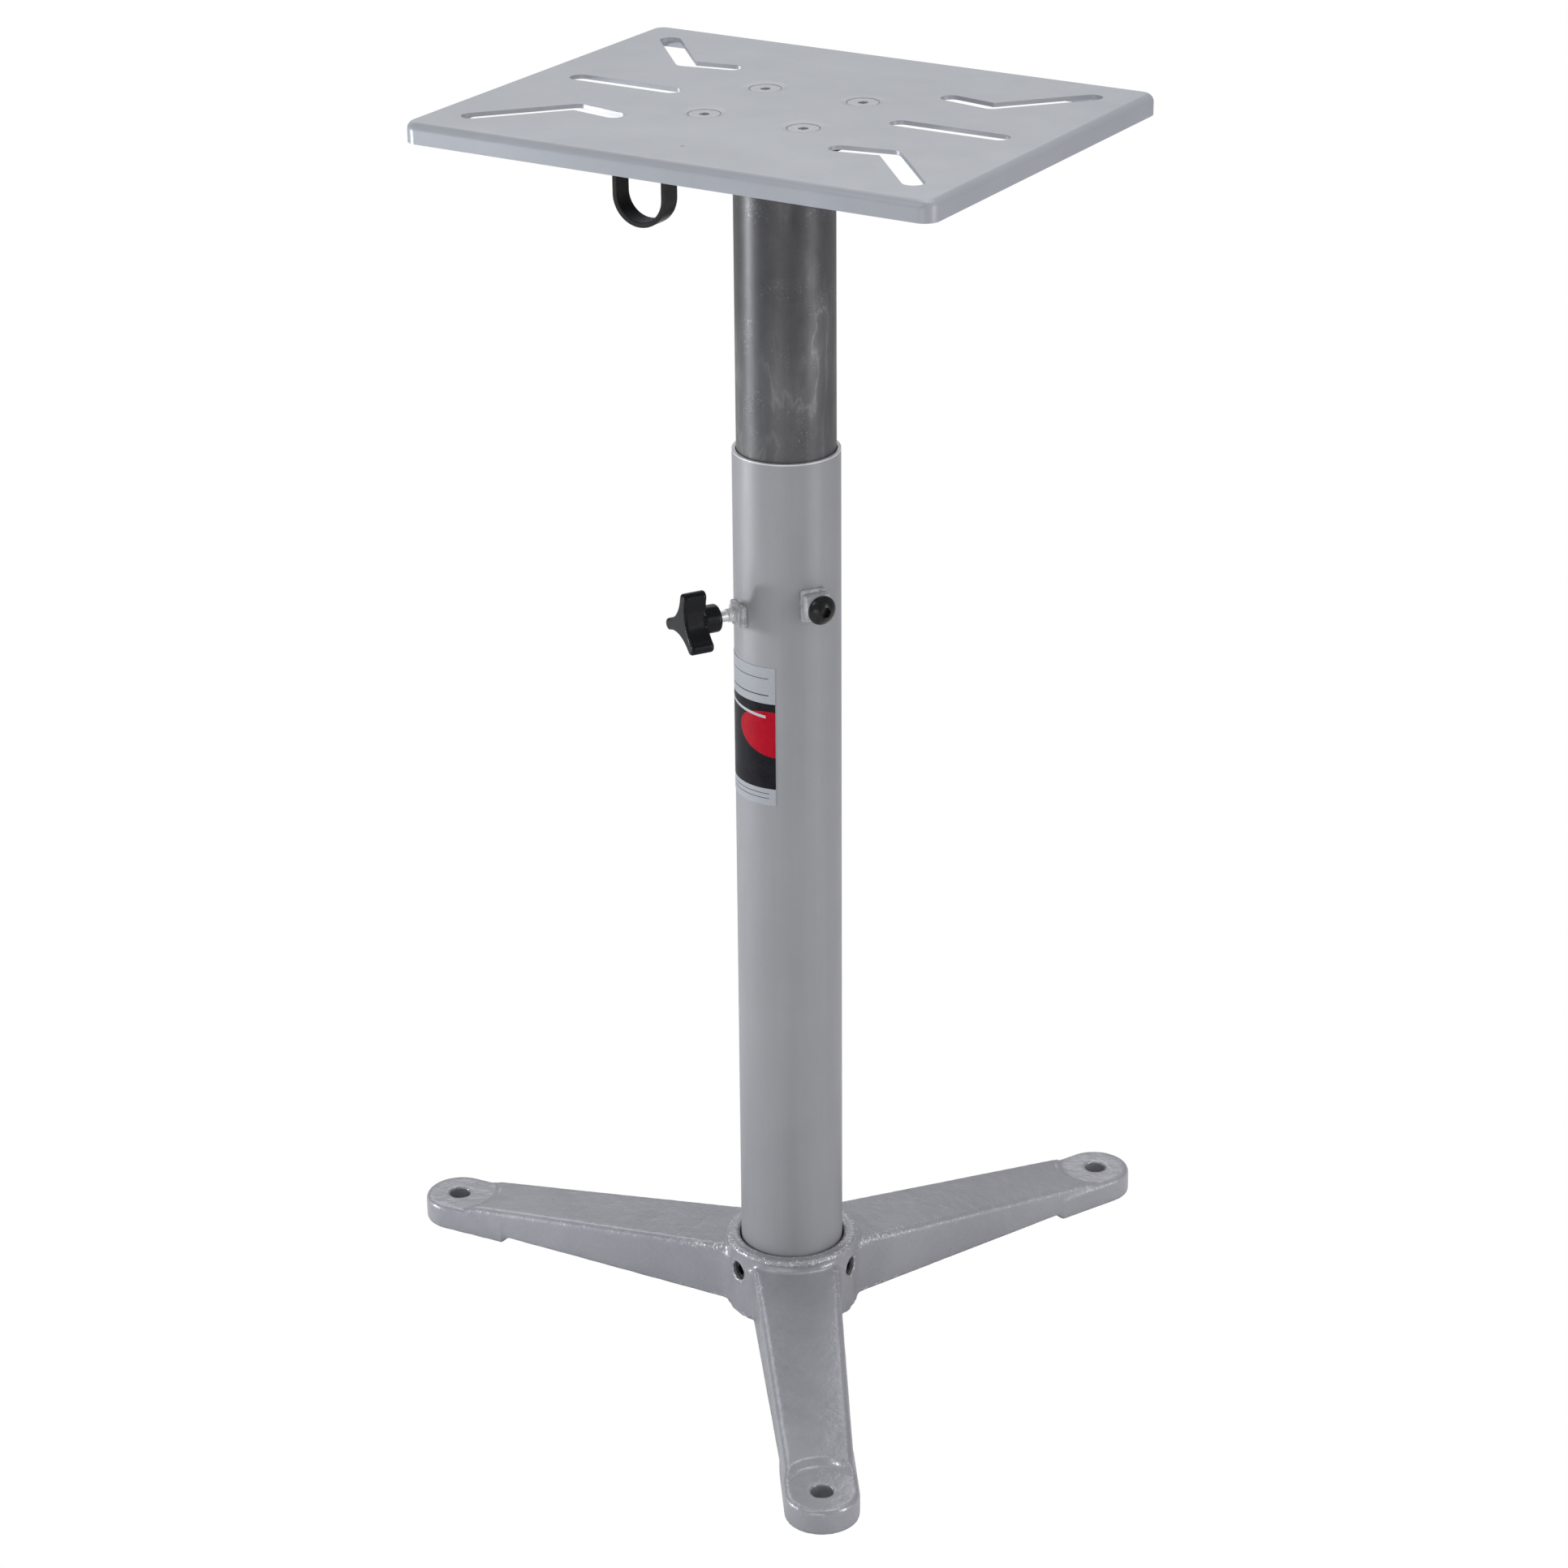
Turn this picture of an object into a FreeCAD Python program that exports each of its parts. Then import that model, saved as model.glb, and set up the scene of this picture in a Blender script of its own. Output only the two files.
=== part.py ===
import FreeCAD, Part
import math
import os
import re

import Sketcher
from FreeCAD import Placement, Rotation, Vector

# Pedestal stand for a bench grinder: a three-legged cast base, a round column tube, an inner
# tube that slides and turns in it, two lock screws, and a slotted steel top plate.
# Millimetres. Z is up, the floor is z = 0 and the column's axis is the Z axis.
# The top plate's long sides run along X and its short sides along Y.

doc = FreeCAD.newDocument("grinder_stand")
sheet = doc.addObject("Spreadsheet::Sheet", "sizes")

SIZES = [
    # Column tube, standing in the base
    ("tube_od", 63.5, "column tube, outside diameter"),
    ("tube_wall", 2.0, "column tube, wall"),
    ("tube_top", 569.0, "column tube, height of its rim above the floor"),
    # Inner tube
    ("slide_gap", 0.55, "radial clearance between the two tubes"),
    ("inner_wall", 2.4, "inner tube, wall"),
    ("inner_length", 502.0, "inner tube, length"),
    ("head_rise", 200.3, "from the column's rim up to the plate's top face, as stored"),
    # Top plate: a pressed pan with slots
    ("plate_length", 335.0, "plate, outside, along X"),
    ("plate_width", 264.2, "plate, outside, along Y"),
    ("plate_gauge", 2.5, "plate, thickness"),
    ("skirt_depth", 12.0, "plate, full depth of its turned-down rim"),
    ("plate_corner", 8.9, "plate, outside radius of its corners in plan"),
    ("plate_bend", 4.7, "plate, outside radius of the bend at its rim"),
    ("slot_width", 12.5, "width of every slot"),
    ("side_slot_near", 74.7, "side slots, X of the inner end centre"),
    ("side_slot_far", 136.1, "side slots, X of the outer end centre"),
    ("knee_slot_x0", 72.4, "corner slots, X of the inner end centre"),
    ("knee_slot_y0", 62.4, "corner slots, Y of the inner end centre"),
    ("knee_slot_x1", 100.5, "corner slots, X of the knee"),
    ("knee_slot_y1", 57.4, "corner slots, Y of the knee"),
    ("knee_slot_x2", 140.1, "corner slots, X of the outer end centre"),
    ("knee_slot_y2", 102.3, "corner slots, Y of the outer end centre"),
    # Plate screws: countersunk socket screws into the head flange
    ("screw_span_x", 64.0, "plate screws, spacing along X"),
    ("screw_span_y", 65.4, "plate screws, spacing along Y"),
    ("screw_od", 9.5, "plate screws, thread diameter"),
    ("screw_head_od", 19.0, "plate screws, head diameter"),
    ("screw_length", 14.0, "plate screws, overall length"),
    ("screw_sink", 0.2, "plate screws, head below the face of its dimple"),
    ("screw_socket", 5.6, "plate screws, socket across flats"),
    ("screw_socket_depth", 2.6, "plate screws, socket depth"),
    ("dimple_od", 28.0, "pressed dimple round each plate screw, diameter"),
    ("dimple_depth", 0.7, "pressed dimple, depth"),
    ("thread_gap", 0.06, "radial clearance of a screw in its tapped hole"),
    # Head flange, between the plate and the inner tube
    ("flange_od", 114.0, "head flange, diameter"),
    ("flange_rim", 10.0, "head flange, thickness of its disc"),
    ("flange_height", 17.0, "head flange, full height with its collar"),
    ("collar_wall", 9.0, "head flange, wall of its collar"),
    ("flange_edge", 2.0, "head flange, edge radius"),
    ("turn_gap", 0.05, "radial clearance of the inner tube in the head flange"),
    ("seat_gap", 0.2, "from the inner tube's top end to the plate"),
    # Tool loop: a bent flat strip under the plate
    ("loop_span", 34.4, "tool loop, outside width"),
    ("loop_strip", 12.5, "tool loop, width of the strip"),
    ("loop_gauge", 3.0, "tool loop, thickness of the strip"),
    ("loop_drop", 47.4, "tool loop, lowest point below the plate's top face"),
    ("loop_ear", 15.0, "tool loop, length of each ear beyond its leg"),
    ("loop_bend", 2.5, "tool loop, inside radius of the bend at each ear"),
    ("loop_corner", 3.0, "tool loop, radius of the corners of its ears"),
    ("loop_weld", 2.6, "tool loop, leg of the weld at the end of each ear"),
    ("weld_mark_od", 2.8, "mark left on the plate over a weld, diameter"),
    ("weld_mark_depth", 0.6, "mark left on the plate over a weld, depth"),
    ("loop_x", -28.5, "tool loop, X of its middle"),
    ("loop_inset", 32.05, "tool loop, its middle behind the plate's front edge"),
    # Base casting: hub
    ("hub_wall", 9.0, "hub, wall round the bore"),
    ("hub_gap", 0.8, "radial clearance of the column tube in the hub"),
    ("hub_top", 49.0, "hub, height of its rim"),
    ("hub_foot", 2.3, "hub, height of its underside above the floor"),
    ("hub_ledge", 5.0, "hub, thickness of the ledge that the tube stands on"),
    ("hub_ledge_in", 5.0, "hub, how far the ledge reaches in from the bore"),
    ("hub_edge", 2.5, "hub, radius of its rim's outer edge"),
    ("hub_mouth", 1.2, "hub, chamfer at the mouth of the bore"),
    # Base casting: legs
    ("base_turn", 4.95, "angle from -X to the first leg, about Z"),
    ("leg_root_width", 53.4, "leg, width at the hub's wall"),
    ("leg_tip_width", 40.5, "leg, width at its outer end"),
    ("leg_root_top", 41.7, "leg, height of its top at the hub's wall"),
    ("leg_tip_top", 18.3, "leg, height of its top at its outer end"),
    ("leg_root_in", 22.0, "leg, how far its block runs into the hub"),
    ("leg_tip_in", 6.0, "leg, from the foot hole's centre in to the end of its block"),
    ("leg_clear", 4.3, "leg, height of its underside above the floor"),
    ("leg_edge", 4.0, "leg, radius of its top edges"),
    ("leg_lower_edge", 1.5, "leg, radius of its lower edges"),
    ("web_radius", 24.0, "radius where a leg's side meets the hub"),
    ("core_wall", 7.0, "wall left round the core under each leg"),
    ("core_near", 12.0, "from the hub's wall out to the core"),
    ("core_far", 10.0, "from the core's outer end to the foot"),
    # Base casting: feet
    ("foot_circle", 486.2, "circle through the foot holes, diameter"),
    ("foot_od", 44.2, "foot, diameter of its round end"),
    ("foot_height", 16.6, "foot, height of its top face"),
    ("foot_back", 43.0, "foot, from the hole in to the end of the pad"),
    ("foot_ramp", 4.5, "foot, length of the ramp at the end of the pad"),
    ("foot_hole", 13.5, "foot, hole diameter"),
    ("foot_edge", 3.0, "foot, radius of its top edge"),
    ("foot_lower_edge", 1.2, "foot, radius of its lower edge"),
    ("spot_radius", 23.6, "sunk face round the hole, radius"),
    ("spot_slope", 4.5, "sunk face, width of the slope round it"),
    ("spot_rise", 4.0, "sunk face, height of the slope round it"),
    # Hub set screws
    ("grub_od", 12.0, "hub set screws, thread diameter"),
    ("grub_length", 7.0, "hub set screws, length"),
    ("grub_socket", 6.0, "hub set screws, socket across flats"),
    ("grub_socket_depth", 4.0, "hub set screws, socket depth"),
    ("grub_z", 32.6, "hub set screws, height above the floor"),
    ("touch_gap", 0.05, "from a hub set screw's tip to the column tube"),
    ("tip_gap", 0.3, "from a lock screw's tip to the inner tube"),
    # Knob side: nut, stud and knob
    ("knob_angle", -121.8, "direction of the knob's axis about Z"),
    ("knob_below", 97.2, "knob's axis below the column's rim"),
    ("stud_od", 8.0, "stud, thread diameter"),
    ("stud_neck", 6.6, "stud, plain neck diameter"),
    ("stud_thread", 10.2, "stud, length of its thread"),
    ("stud_grip", 12.0, "stud, length held in the knob"),
    ("stud_nut_af", 12.4, "stud's nut, across flats"),
    ("stud_nut_height", 4.0, "stud's nut, height"),
    ("knob_reach", 14.4, "from the column's wall out to the knob's inner end"),
    ("knob_radius", 20.5, "knob, from its axis to the tip of an arm"),
    ("knob_tip", 3.6, "knob, radius of an arm's round tip"),
    ("knob_waist", 7.6, "knob, smallest radius between two arms"),
    ("knob_depth", 14.6, "knob, length of the arms along its axis"),
    ("knob_boss_od", 16.8, "knob, boss diameter"),
    ("knob_boss", 9.6, "knob, boss length"),
    ("knob_edge", 1.3, "knob, edge radius"),
    ("knob_twist", -12.0, "knob, angle of its first arm from the vertical"),
    ("knob_gap", 0.05, "radial clearance of the stud in the knob"),
    # Bolt side: nut and button-head bolt
    ("bolt_angle", -31.3, "direction of the lock bolt's axis about Z"),
    ("bolt_below", 86.5, "lock bolt's axis below the column's rim"),
    ("bolt_od", 10.0, "lock bolt, thread diameter"),
    ("bolt_head_od", 17.5, "lock bolt, head diameter"),
    ("bolt_head_height", 5.5, "lock bolt, head height"),
    ("bolt_head_flat", 6.6, "lock bolt, diameter of the flat on its head"),
    ("bolt_head_land", 1.2, "lock bolt, straight edge at the foot of its head"),
    ("bolt_socket", 6.0, "lock bolt, socket across flats"),
    ("bolt_socket_depth", 3.1, "lock bolt, socket depth"),
    ("bolt_stand", 2.2, "from the bolt's nut to the underside of its head"),
    ("bolt_nut_af", 15.0, "lock bolt's nut, across flats"),
    ("bolt_nut_height", 8.4, "lock bolt's nut, height"),
    ("nut_face", 0.95, "a nut's round face, as a share of its width across flats"),
    ("bead_reach", 2.2, "weld round a nut, width beyond the two flats where it is thickest"),
    ("bead_edge", 0.5, "weld round a nut, width beyond its other two flats"),
    ("bead_corner", 1.5, "weld bead, radius of its corners"),
    ("bead_round", 1.2, "weld bead, radius of its upper edge"),
    ("bead_height", 2.2, "weld bead, height above the column's wall"),
    # Label
    ("label_below", 125.8, "label's top edge below the column's rim"),
    ("label_height", 87.8, "label, height"),
    ("label_width", 62.0, "label, length round the column"),
    ("label_edge_angle", -72.8, "direction of the label's right edge about Z"),
    ("label_gauge", 0.25, "label, thickness"),
]
for row, (alias, size, note) in enumerate(SIZES, 1):
    sheet.set(f"A{row}", note)
    sheet.set(f"B{row}", str(size))
    sheet.setAlias(f"B{row}", alias)
doc.recompute()

ALIAS = re.compile(r"\b(" + "|".join(name for name, _, _ in SIZES) + r")\b")

# Sizes that follow from the ones above, written once.
TUBE_R = "(tube_od / 2)"
BORE_R = "(tube_od / 2 + hub_gap)"
HUB_R = f"({BORE_R} + hub_wall)"
TUBE_FOOT = "(hub_foot + hub_ledge)"
INNER_R = "(tube_od / 2 - tube_wall - slide_gap)"
PLATE_TOP = "(tube_top + head_rise)"
PLATE_UNDER = f"({PLATE_TOP} - plate_gauge)"
INNER_TOP = f"({PLATE_UNDER} - seat_gap)"
FOOT_R = "(foot_circle / 2)"
LEG_START = f"({HUB_R} - leg_root_in)"
LEG_END = f"({FOOT_R} - leg_tip_in)"
PAD_START = f"({FOOT_R} - foot_back)"
KNOB_Z = "(tube_top - knob_below)"
BOLT_Z = "(tube_top - bolt_below)"
BOLT_SEAT = "(tube_od / 2 + bolt_nut_height + bolt_stand)"
KNOB_START = "(tube_od / 2 + knob_reach)"
LOCK_TIP = f"({INNER_R} + tip_gap)"
LEG_ANGLES = [180, 60, -60]      # before base_turn
HALF_PITCH = 60                  # from a leg to the set screw beside it

OVERSIZE = 2.0     # how far a cutting tool runs past the face that it opens
Z_AXIS = Vector(0, 0, 1)
nodes = []


def bound(text):
    """A size expression with its aliases named in the sheet."""
    return ALIAS.sub(r"sizes.\1", str(text))


def value(text):
    """The present value of a size expression."""
    return float(sheet.evalExpression(bound(text)))


def bind(item, sizes):
    for prop, text in sizes.items():
        item.setExpression(prop, bound(text))
    return item


def primitive(kind, name, at=None, **sizes):
    """A Part primitive with bound sizes, and where a point is given its origin bound to it."""
    item = doc.addObject("Part::" + kind, name)
    bind(item, sizes)
    if at:
        bind(item, {"Placement.Base." + axis: text for axis, text in zip("xyz", at)})
    return item


def cylinder(name, radius, height, at=None):
    return primitive("Cylinder", name, at, Radius=radius, Height=height)


def hexagon(name, across_flats, height, at=None):
    """A hexagonal prism with a corner on its X axis."""
    item = primitive("Prism", name, at, Circumradius=f"({across_flats}) / sqrt(3)", Height=height)
    item.Polygon = 6
    return item


def bar(name, across, up, height):
    """A rectangular prism about its Z axis."""
    return primitive("Box", name, (f"-({across}) / 2", f"-({up}) / 2", "0"),
                     Length=across, Width=up, Height=height)


def fuse(name, items):
    item = doc.addObject("Part::MultiFuse", name)
    item.Shapes = items
    item.Refine = True
    return item


def cut(name, base, tools):
    """Base less one tool, or less several tools fused into one."""
    item = doc.addObject("Part::Cut", name)
    item.Base = base
    item.Tool = tools[0] if len(tools) == 1 else fuse(name + "_tools", tools)
    return item


def rounded(name, base, wanted, radius):
    """Base with the edges that wanted(edge) picks out rounded to a named radius."""
    doc.recompute()
    size = value(radius)
    item = doc.addObject("Part::Fillet", name)
    item.Base = base
    picked = [number for number, edge in enumerate(base.Shape.Edges, 1) if wanted(edge)]
    item.Edges = [(number, size, size) for number in picked]
    return item


def node(item, label, placement=None):
    """Name a finished sub-part and put it in its place."""
    item.Label = label
    if placement is not None:
        item.Placement = placement
    nodes.append(item)
    return item


def middle(edge):
    return edge.valueAt((edge.FirstParameter + edge.LastParameter) / 2)


def upright(edge):
    return edge.BoundBox.ZLength > 0.9 * edge.Length


def lengthwise(edge):
    """An edge that runs along Y."""
    return edge.BoundBox.YLength > 0.9 * edge.Length


def level_at(height):
    """A test for edges that lie wholly at a height."""
    def test(edge):
        box = edge.BoundBox
        return abs(box.ZMin - height) < 1e-4 and abs(box.ZMax - height) < 1e-4
    return test


def plane_of(part, role):
    return [feature for feature in part.Origin.OriginFeatures if feature.Role == role][0]


def sketch(part, name, role, offset="0"):
    """A sketch on one of the body's own planes, moved along the plane's normal."""
    item = part.newObject("Sketcher::SketchObject", name)
    item.AttachmentSupport = (plane_of(part, role), [""])
    item.MapMode = "FlatFace"
    item.setExpression("AttachmentOffset.Base.z", bound(offset))
    return item


def constrain(item, constraint, text):
    """Add a dimension to a sketch and bind it to a size expression."""
    number = item.addConstraint(Sketcher.Constraint(*constraint, value(text)))
    item.setExpression(f"Constraints[{number}]", bound(text))


def outline(item, points):
    """A closed outline of straight lines whose corners are bound to size expressions."""
    places = [Vector(value(x), value(y), 0) for x, y in points]
    count = len(places)
    for index in range(count):
        item.addGeometry(Part.LineSegment(places[index], places[(index + 1) % count]))
    for index, (x, y) in enumerate(points):
        before = (index - 1) % count
        item.addConstraint(Sketcher.Constraint("Coincident", before, 2, index, 1))
        constrain(item, ("DistanceX", -1, 1, index, 1), x)
        constrain(item, ("DistanceY", -1, 1, index, 1), y)


def circle(item, radius):
    """A circle about the sketch's origin."""
    index = item.addGeometry(Part.Circle(Vector(0, 0, 0), Z_AXIS, value(radius)))
    item.addConstraint(Sketcher.Constraint("Coincident", index, 3, -1, 1))
    constrain(item, ("Radius", index), radius)


def pad(part, name, profile, length):
    item = part.newObject("PartDesign::Pad", name)
    item.Profile = profile
    return bind(item, {"Length": length})


def turned(label, points):
    """A body of revolution about its own Z axis; points are (radius, height) pairs."""
    part = doc.addObject("PartDesign::Body", label)
    doc.recompute()
    profile = sketch(part, label + "_profile", "XZ_Plane")
    outline(profile, points)
    item = part.newObject("PartDesign::Revolution", label + "_turned")
    item.Profile = profile
    item.ReferenceAxis = (plane_of(part, "Z_Axis"), [""])
    item.Angle = 360
    return part


def outward(angle, height, distance="0"):
    """A frame on a level axis through the column: its Z points out, its Y points up."""
    turn = math.radians(value(angle))
    out = Vector(math.cos(turn), math.sin(turn), 0)
    side = Vector(-math.sin(turn), math.cos(turn), 0)
    place = out * value(distance) + Vector(0, 0, value(height))
    return Placement(place, Rotation(side, Z_AXIS, out, "ZXY"))


# --- Base casting: a hub with three legs and three feet ---------------------------------------
def along_leg(root, tip, distance):
    """A size that tapers along the leg, at a distance from the column's axis."""
    return f"({root} + ({tip} - {root}) * ({distance} - {HUB_R}) / ({LEG_END} - {HUB_R}))"


def tapered_block(name, near, far, side_inset, top_inset, bottom):
    """A block along Y from near to far that follows the leg's taper, set in at sides and top."""
    half_near = f"{along_leg('leg_root_width', 'leg_tip_width', near)} / 2 - {side_inset}"
    half_far = f"{along_leg('leg_root_width', 'leg_tip_width', far)} / 2 - {side_inset}"
    return primitive(
        "Wedge", name, Xmin=f"-({half_near})", Xmax=half_near,
        X2min=f"-({half_far})", X2max=half_far,
        Ymin=near, Ymax=far, Zmin=bottom, Z2min=bottom,
        Zmax=f"{along_leg('leg_root_top', 'leg_tip_top', near)} - {top_inset}",
        Z2max=f"{along_leg('leg_root_top', 'leg_tip_top', far)} - {top_inset}")


def web(name, side):
    """The blend between one side of a leg and the hub's wall, round in plan."""
    half = "(leg_root_width / 2)"
    centre_x = f"({half} + web_radius)"
    centre_y = f"sqrt(({HUB_R} + web_radius) ^ 2 - {centre_x} ^ 2)"
    reach = f"({centre_x} * {HUB_R} / ({HUB_R} + web_radius))"
    foot = "(leg_clear + leg_lower_edge)"
    crown = f"(leg_root_top - leg_edge - {foot})"
    block = primitive("Box", name + "_block",
                      (half if side > 0 else f"-{reach}", f"{centre_y} - web_radius", foot),
                      Length=f"{reach} - {half}", Width="web_radius", Height=crown)
    hollow = cylinder(name + "_hollow", "web_radius", f"{crown} + 2 * {OVERSIZE}",
                      (f"{side} * {centre_x}", centre_y, f"{foot} - {OVERSIZE}"))
    inner = primitive("Box", name + "_inner",
                      (f"{half} - {OVERSIZE}" if side > 0 else f"-{half}",
                       f"{centre_y} - web_radius", foot),
                      Length=OVERSIZE, Width="web_radius", Height=crown)
    return fuse(name, [cut(name + "_shaped", block, [hollow]), inner])


def foot_pad(name):
    """The foot's pad, a bar with a round end, and the ramp under the leg that leads to it."""
    bar = primitive("Box", name + "_bar", ("-foot_od / 2", PAD_START, "0"),
                    Length="foot_od", Width="foot_back", Height="foot_height")
    end = cylinder(name + "_end", "foot_od / 2", "foot_height", ("0", FOOT_R, "0"))
    blank = fuse(name + "_blank", [bar, end])
    inner = value(PAD_START)
    on_top = level_at(value("foot_height"))
    on_floor = level_at(0)
    eased = rounded(name + "_eased", blank,
                    lambda edge: on_top(edge) and middle(edge).y > inner + 1, "foot_edge")
    eased = rounded(name + "_pad", eased,
                    lambda edge: on_floor(edge) and middle(edge).y > inner + 1, "foot_lower_edge")
    half = "(foot_od / 2 - foot_lower_edge)"
    roof = "(leg_clear + leg_lower_edge)"
    ramp = primitive("Wedge", name + "_ramp", Xmin=f"-{half}", Xmax=half, X2min=f"-{half}", X2max=half,
                     Ymin=f"{PAD_START} - foot_ramp", Ymax=PAD_START,
                     Zmin="leg_clear", Z2min="0", Zmax=roof, Z2max=roof)
    return fuse(name, [eased, ramp])


def leg(number, angle):
    """One leg with its foot, made along Y and turned to its angle."""
    name = f"leg{number}"
    arm = tapered_block(name + "_block", LEG_START, LEG_END, "0", "0", "leg_clear")
    half_height = value("(leg_clear + leg_tip_top) / 2")
    arm = rounded(name + "_crest", arm,
                  lambda edge: lengthwise(edge) and middle(edge).z > half_height, "leg_edge")
    arm = rounded(name + "_arm", arm,
                  lambda edge: lengthwise(edge) and middle(edge).z < half_height, "leg_lower_edge")
    # The arm ends in a hollow round the foot's sunk face, with a slope above it.
    well = cylinder(name + "_well", "spot_radius", f"foot_height + {OVERSIZE}",
                    ("0", FOOT_R, f"-{OVERSIZE}"))
    slope = primitive("Cone", name + "_slope", ("0", FOOT_R, "foot_height"), Radius1="spot_radius",
                      Radius2=f"spot_radius + {OVERSIZE} * spot_slope", Height=f"{OVERSIZE} * spot_rise")
    arm = cut(name + "_scooped", arm, [well, slope])
    whole = fuse(name + "_whole", [arm, foot_pad(name + "_foot"), web(name + "_web_right", 1),
                                   web(name + "_web_left", -1)])
    hole = cylinder(name + "_hole", "foot_hole / 2", f"foot_height + 2 * {OVERSIZE}",
                    ("0", FOOT_R, f"-{OVERSIZE}"))
    core = tapered_block(name + "_core", f"({HUB_R} + core_near)",
                         f"({PAD_START} - foot_ramp - core_far)",
                         "core_wall", "core_wall", f"leg_clear - {OVERSIZE}")
    finished = cut(name, whole, [hole, core])
    finished.setExpression("Placement.Rotation.Angle", bound(f"base_turn + {angle - 90}"))
    return finished


def grub_frame(angle):
    """The frame of a hub set screw, its Z pointing out from the column tube."""
    return outward(f"base_turn + {angle - HALF_PITCH}", "grub_z", f"{TUBE_R} + touch_gap")


hub_blank = cylinder("hub_blank", HUB_R, "hub_top - hub_foot", ("0", "0", "hub_foot"))
hub_eased = rounded("hub_eased", hub_blank, level_at(value("hub_top")), "hub_edge")
legs = [leg(number, angle) for number, angle in enumerate(LEG_ANGLES, 1)]
star = fuse("base_star", [hub_eased] + legs)
bore = cylinder("hub_bore", BORE_R, f"hub_top - {TUBE_FOOT} + {OVERSIZE}", ("0", "0", TUBE_FOOT))
ledge_hole = cylinder("hub_ledge_hole", f"{BORE_R} - hub_ledge_in", f"hub_ledge + 2 * {OVERSIZE}",
                      ("0", "0", f"hub_foot - {OVERSIZE}"))
mouth = primitive("Cone", "hub_mouth_cut", ("0", "0", "hub_top - hub_mouth"), Radius1=BORE_R,
                  Radius2=f"{BORE_R} + 2 * hub_mouth", Height="2 * hub_mouth")
grub_holes = []
for number, angle in enumerate(LEG_ANGLES, 1):
    hole = cylinder(f"grub_hole{number}", "grub_od / 2", f"hub_wall + {2 * OVERSIZE}")
    hole.Placement = grub_frame(angle)
    grub_holes.append(hole)
node(cut("base_casting", star, [bore, ledge_hole, mouth] + grub_holes), "base_casting")


# --- Hub set screws: flat points against the column tube ----------------------------------------
def set_screw(number, angle):
    name = f"hub_set_screw_{number}"
    radius = "(grub_od / 2 - thread_gap)"
    part = doc.addObject("PartDesign::Body", name + "_body")
    doc.recompute()
    profile = sketch(part, name + "_circle", "XY_Plane")
    circle(profile, radius)
    pad(part, name + "_pad", profile, "grub_length")
    socket = hexagon(name + "_socket", "grub_socket", f"grub_socket_depth + {OVERSIZE}",
                     ("0", "0", "grub_length - grub_socket_depth"))
    node(cut(name, part, [socket]), name, grub_frame(angle))


for number, angle in enumerate(LEG_ANGLES, 1):
    set_screw(number, angle)

# --- Column tube, with a hole for each lock screw -----------------------------------------------
tube_blank = cylinder("tube_blank", TUBE_R, f"tube_top - {TUBE_FOOT}", ("0", "0", TUBE_FOOT))
tube_bore = cylinder("tube_bore", f"{TUBE_R} - tube_wall",
                     f"tube_top - {TUBE_FOOT} + {2 * OVERSIZE}", ("0", "0", f"{TUBE_FOOT} - {OVERSIZE}"))
stud_way = cylinder("stud_way", "stud_od / 2 + 4 * thread_gap", f"tube_wall + {2 * OVERSIZE}")
stud_way.Placement = outward("knob_angle", KNOB_Z, f"{TUBE_R} - tube_wall - {OVERSIZE}")
bolt_way = cylinder("bolt_way", "bolt_od / 2 + 4 * thread_gap", f"tube_wall + {2 * OVERSIZE}")
bolt_way.Placement = outward("bolt_angle", BOLT_Z, f"{TUBE_R} - tube_wall - {OVERSIZE}")
node(cut("outer_tube", tube_blank, [tube_bore, stud_way, bolt_way]), "outer_tube")


# --- Nuts welded on the column, each with a bead round its foot -----------------------------------
def column_wall(name, level, reach):
    """The column's own round, to shape what sits on it."""
    return cylinder(name, TUBE_R, f"2 * {reach}", ("0", "0", f"{level} - {reach}"))


def welded_nut(name, flats, height, thread, angle, level, beads):
    """A square nut and the bead round its foot, both shaped to the column's wall."""
    across, up = (f"({flats} + 2 * {bead})" for bead in beads)
    sunk = f"({TUBE_R} - sqrt({TUBE_R} ^ 2 - ({across} / 2) ^ 2))"
    lie = outward(angle, level, f"{TUBE_R} - {sunk}")
    tall = f"({height} + {sunk})"
    face = f"({flats} / 2 * nut_face)"
    crown = primitive("Cone", name + "_crown", Radius1=f"{face} + sqrt(3) * {tall}",
                      Radius2=face, Height=tall)
    chamfered = doc.addObject("Part::Common", name + "_chamfered")
    chamfered.Base = bar(name + "_blank", flats, flats, tall)
    chamfered.Tool = crown
    thread_hole = cylinder(name + "_thread", f"{thread} / 2 + thread_gap",
                           f"{tall} + {2 * OVERSIZE}", ("0", "0", f"-{OVERSIZE}"))
    nut = cut(name + "_threaded", chamfered, [thread_hole])
    nut.Placement = lie
    node(cut(name, nut, [column_wall(name + "_seat", level, flats)]), name)
    rise = f"(bead_height + {sunk})"
    bead = rounded(name + "_bead_corners", bar(name + "_bead", across, up, rise), upright, "bead_corner")
    bead = rounded(name + "_bead_eased", bead, level_at(value(rise)), "bead_round")
    bead = cut(name + "_bead_ring", bead, [bar(name + "_bead_hollow", flats, flats, f"{rise} + {OVERSIZE}")])
    bead.Placement = lie
    seat = column_wall(name + "_weld_seat", level, f"2 * {flats}")
    node(cut(name + "_weld", bead, [seat]), name + "_weld")


# The knob's nut is welded at its sides, the bolt's nut above and below.
welded_nut("stud_nut", "stud_nut_af", "stud_nut_height", "stud_od", "knob_angle", KNOB_Z,
           ("bead_reach", "bead_edge"))
welded_nut("bolt_nut", "bolt_nut_af", "bolt_nut_height", "bolt_od", "bolt_angle", BOLT_Z,
           ("bead_edge", "bead_reach"))

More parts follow.
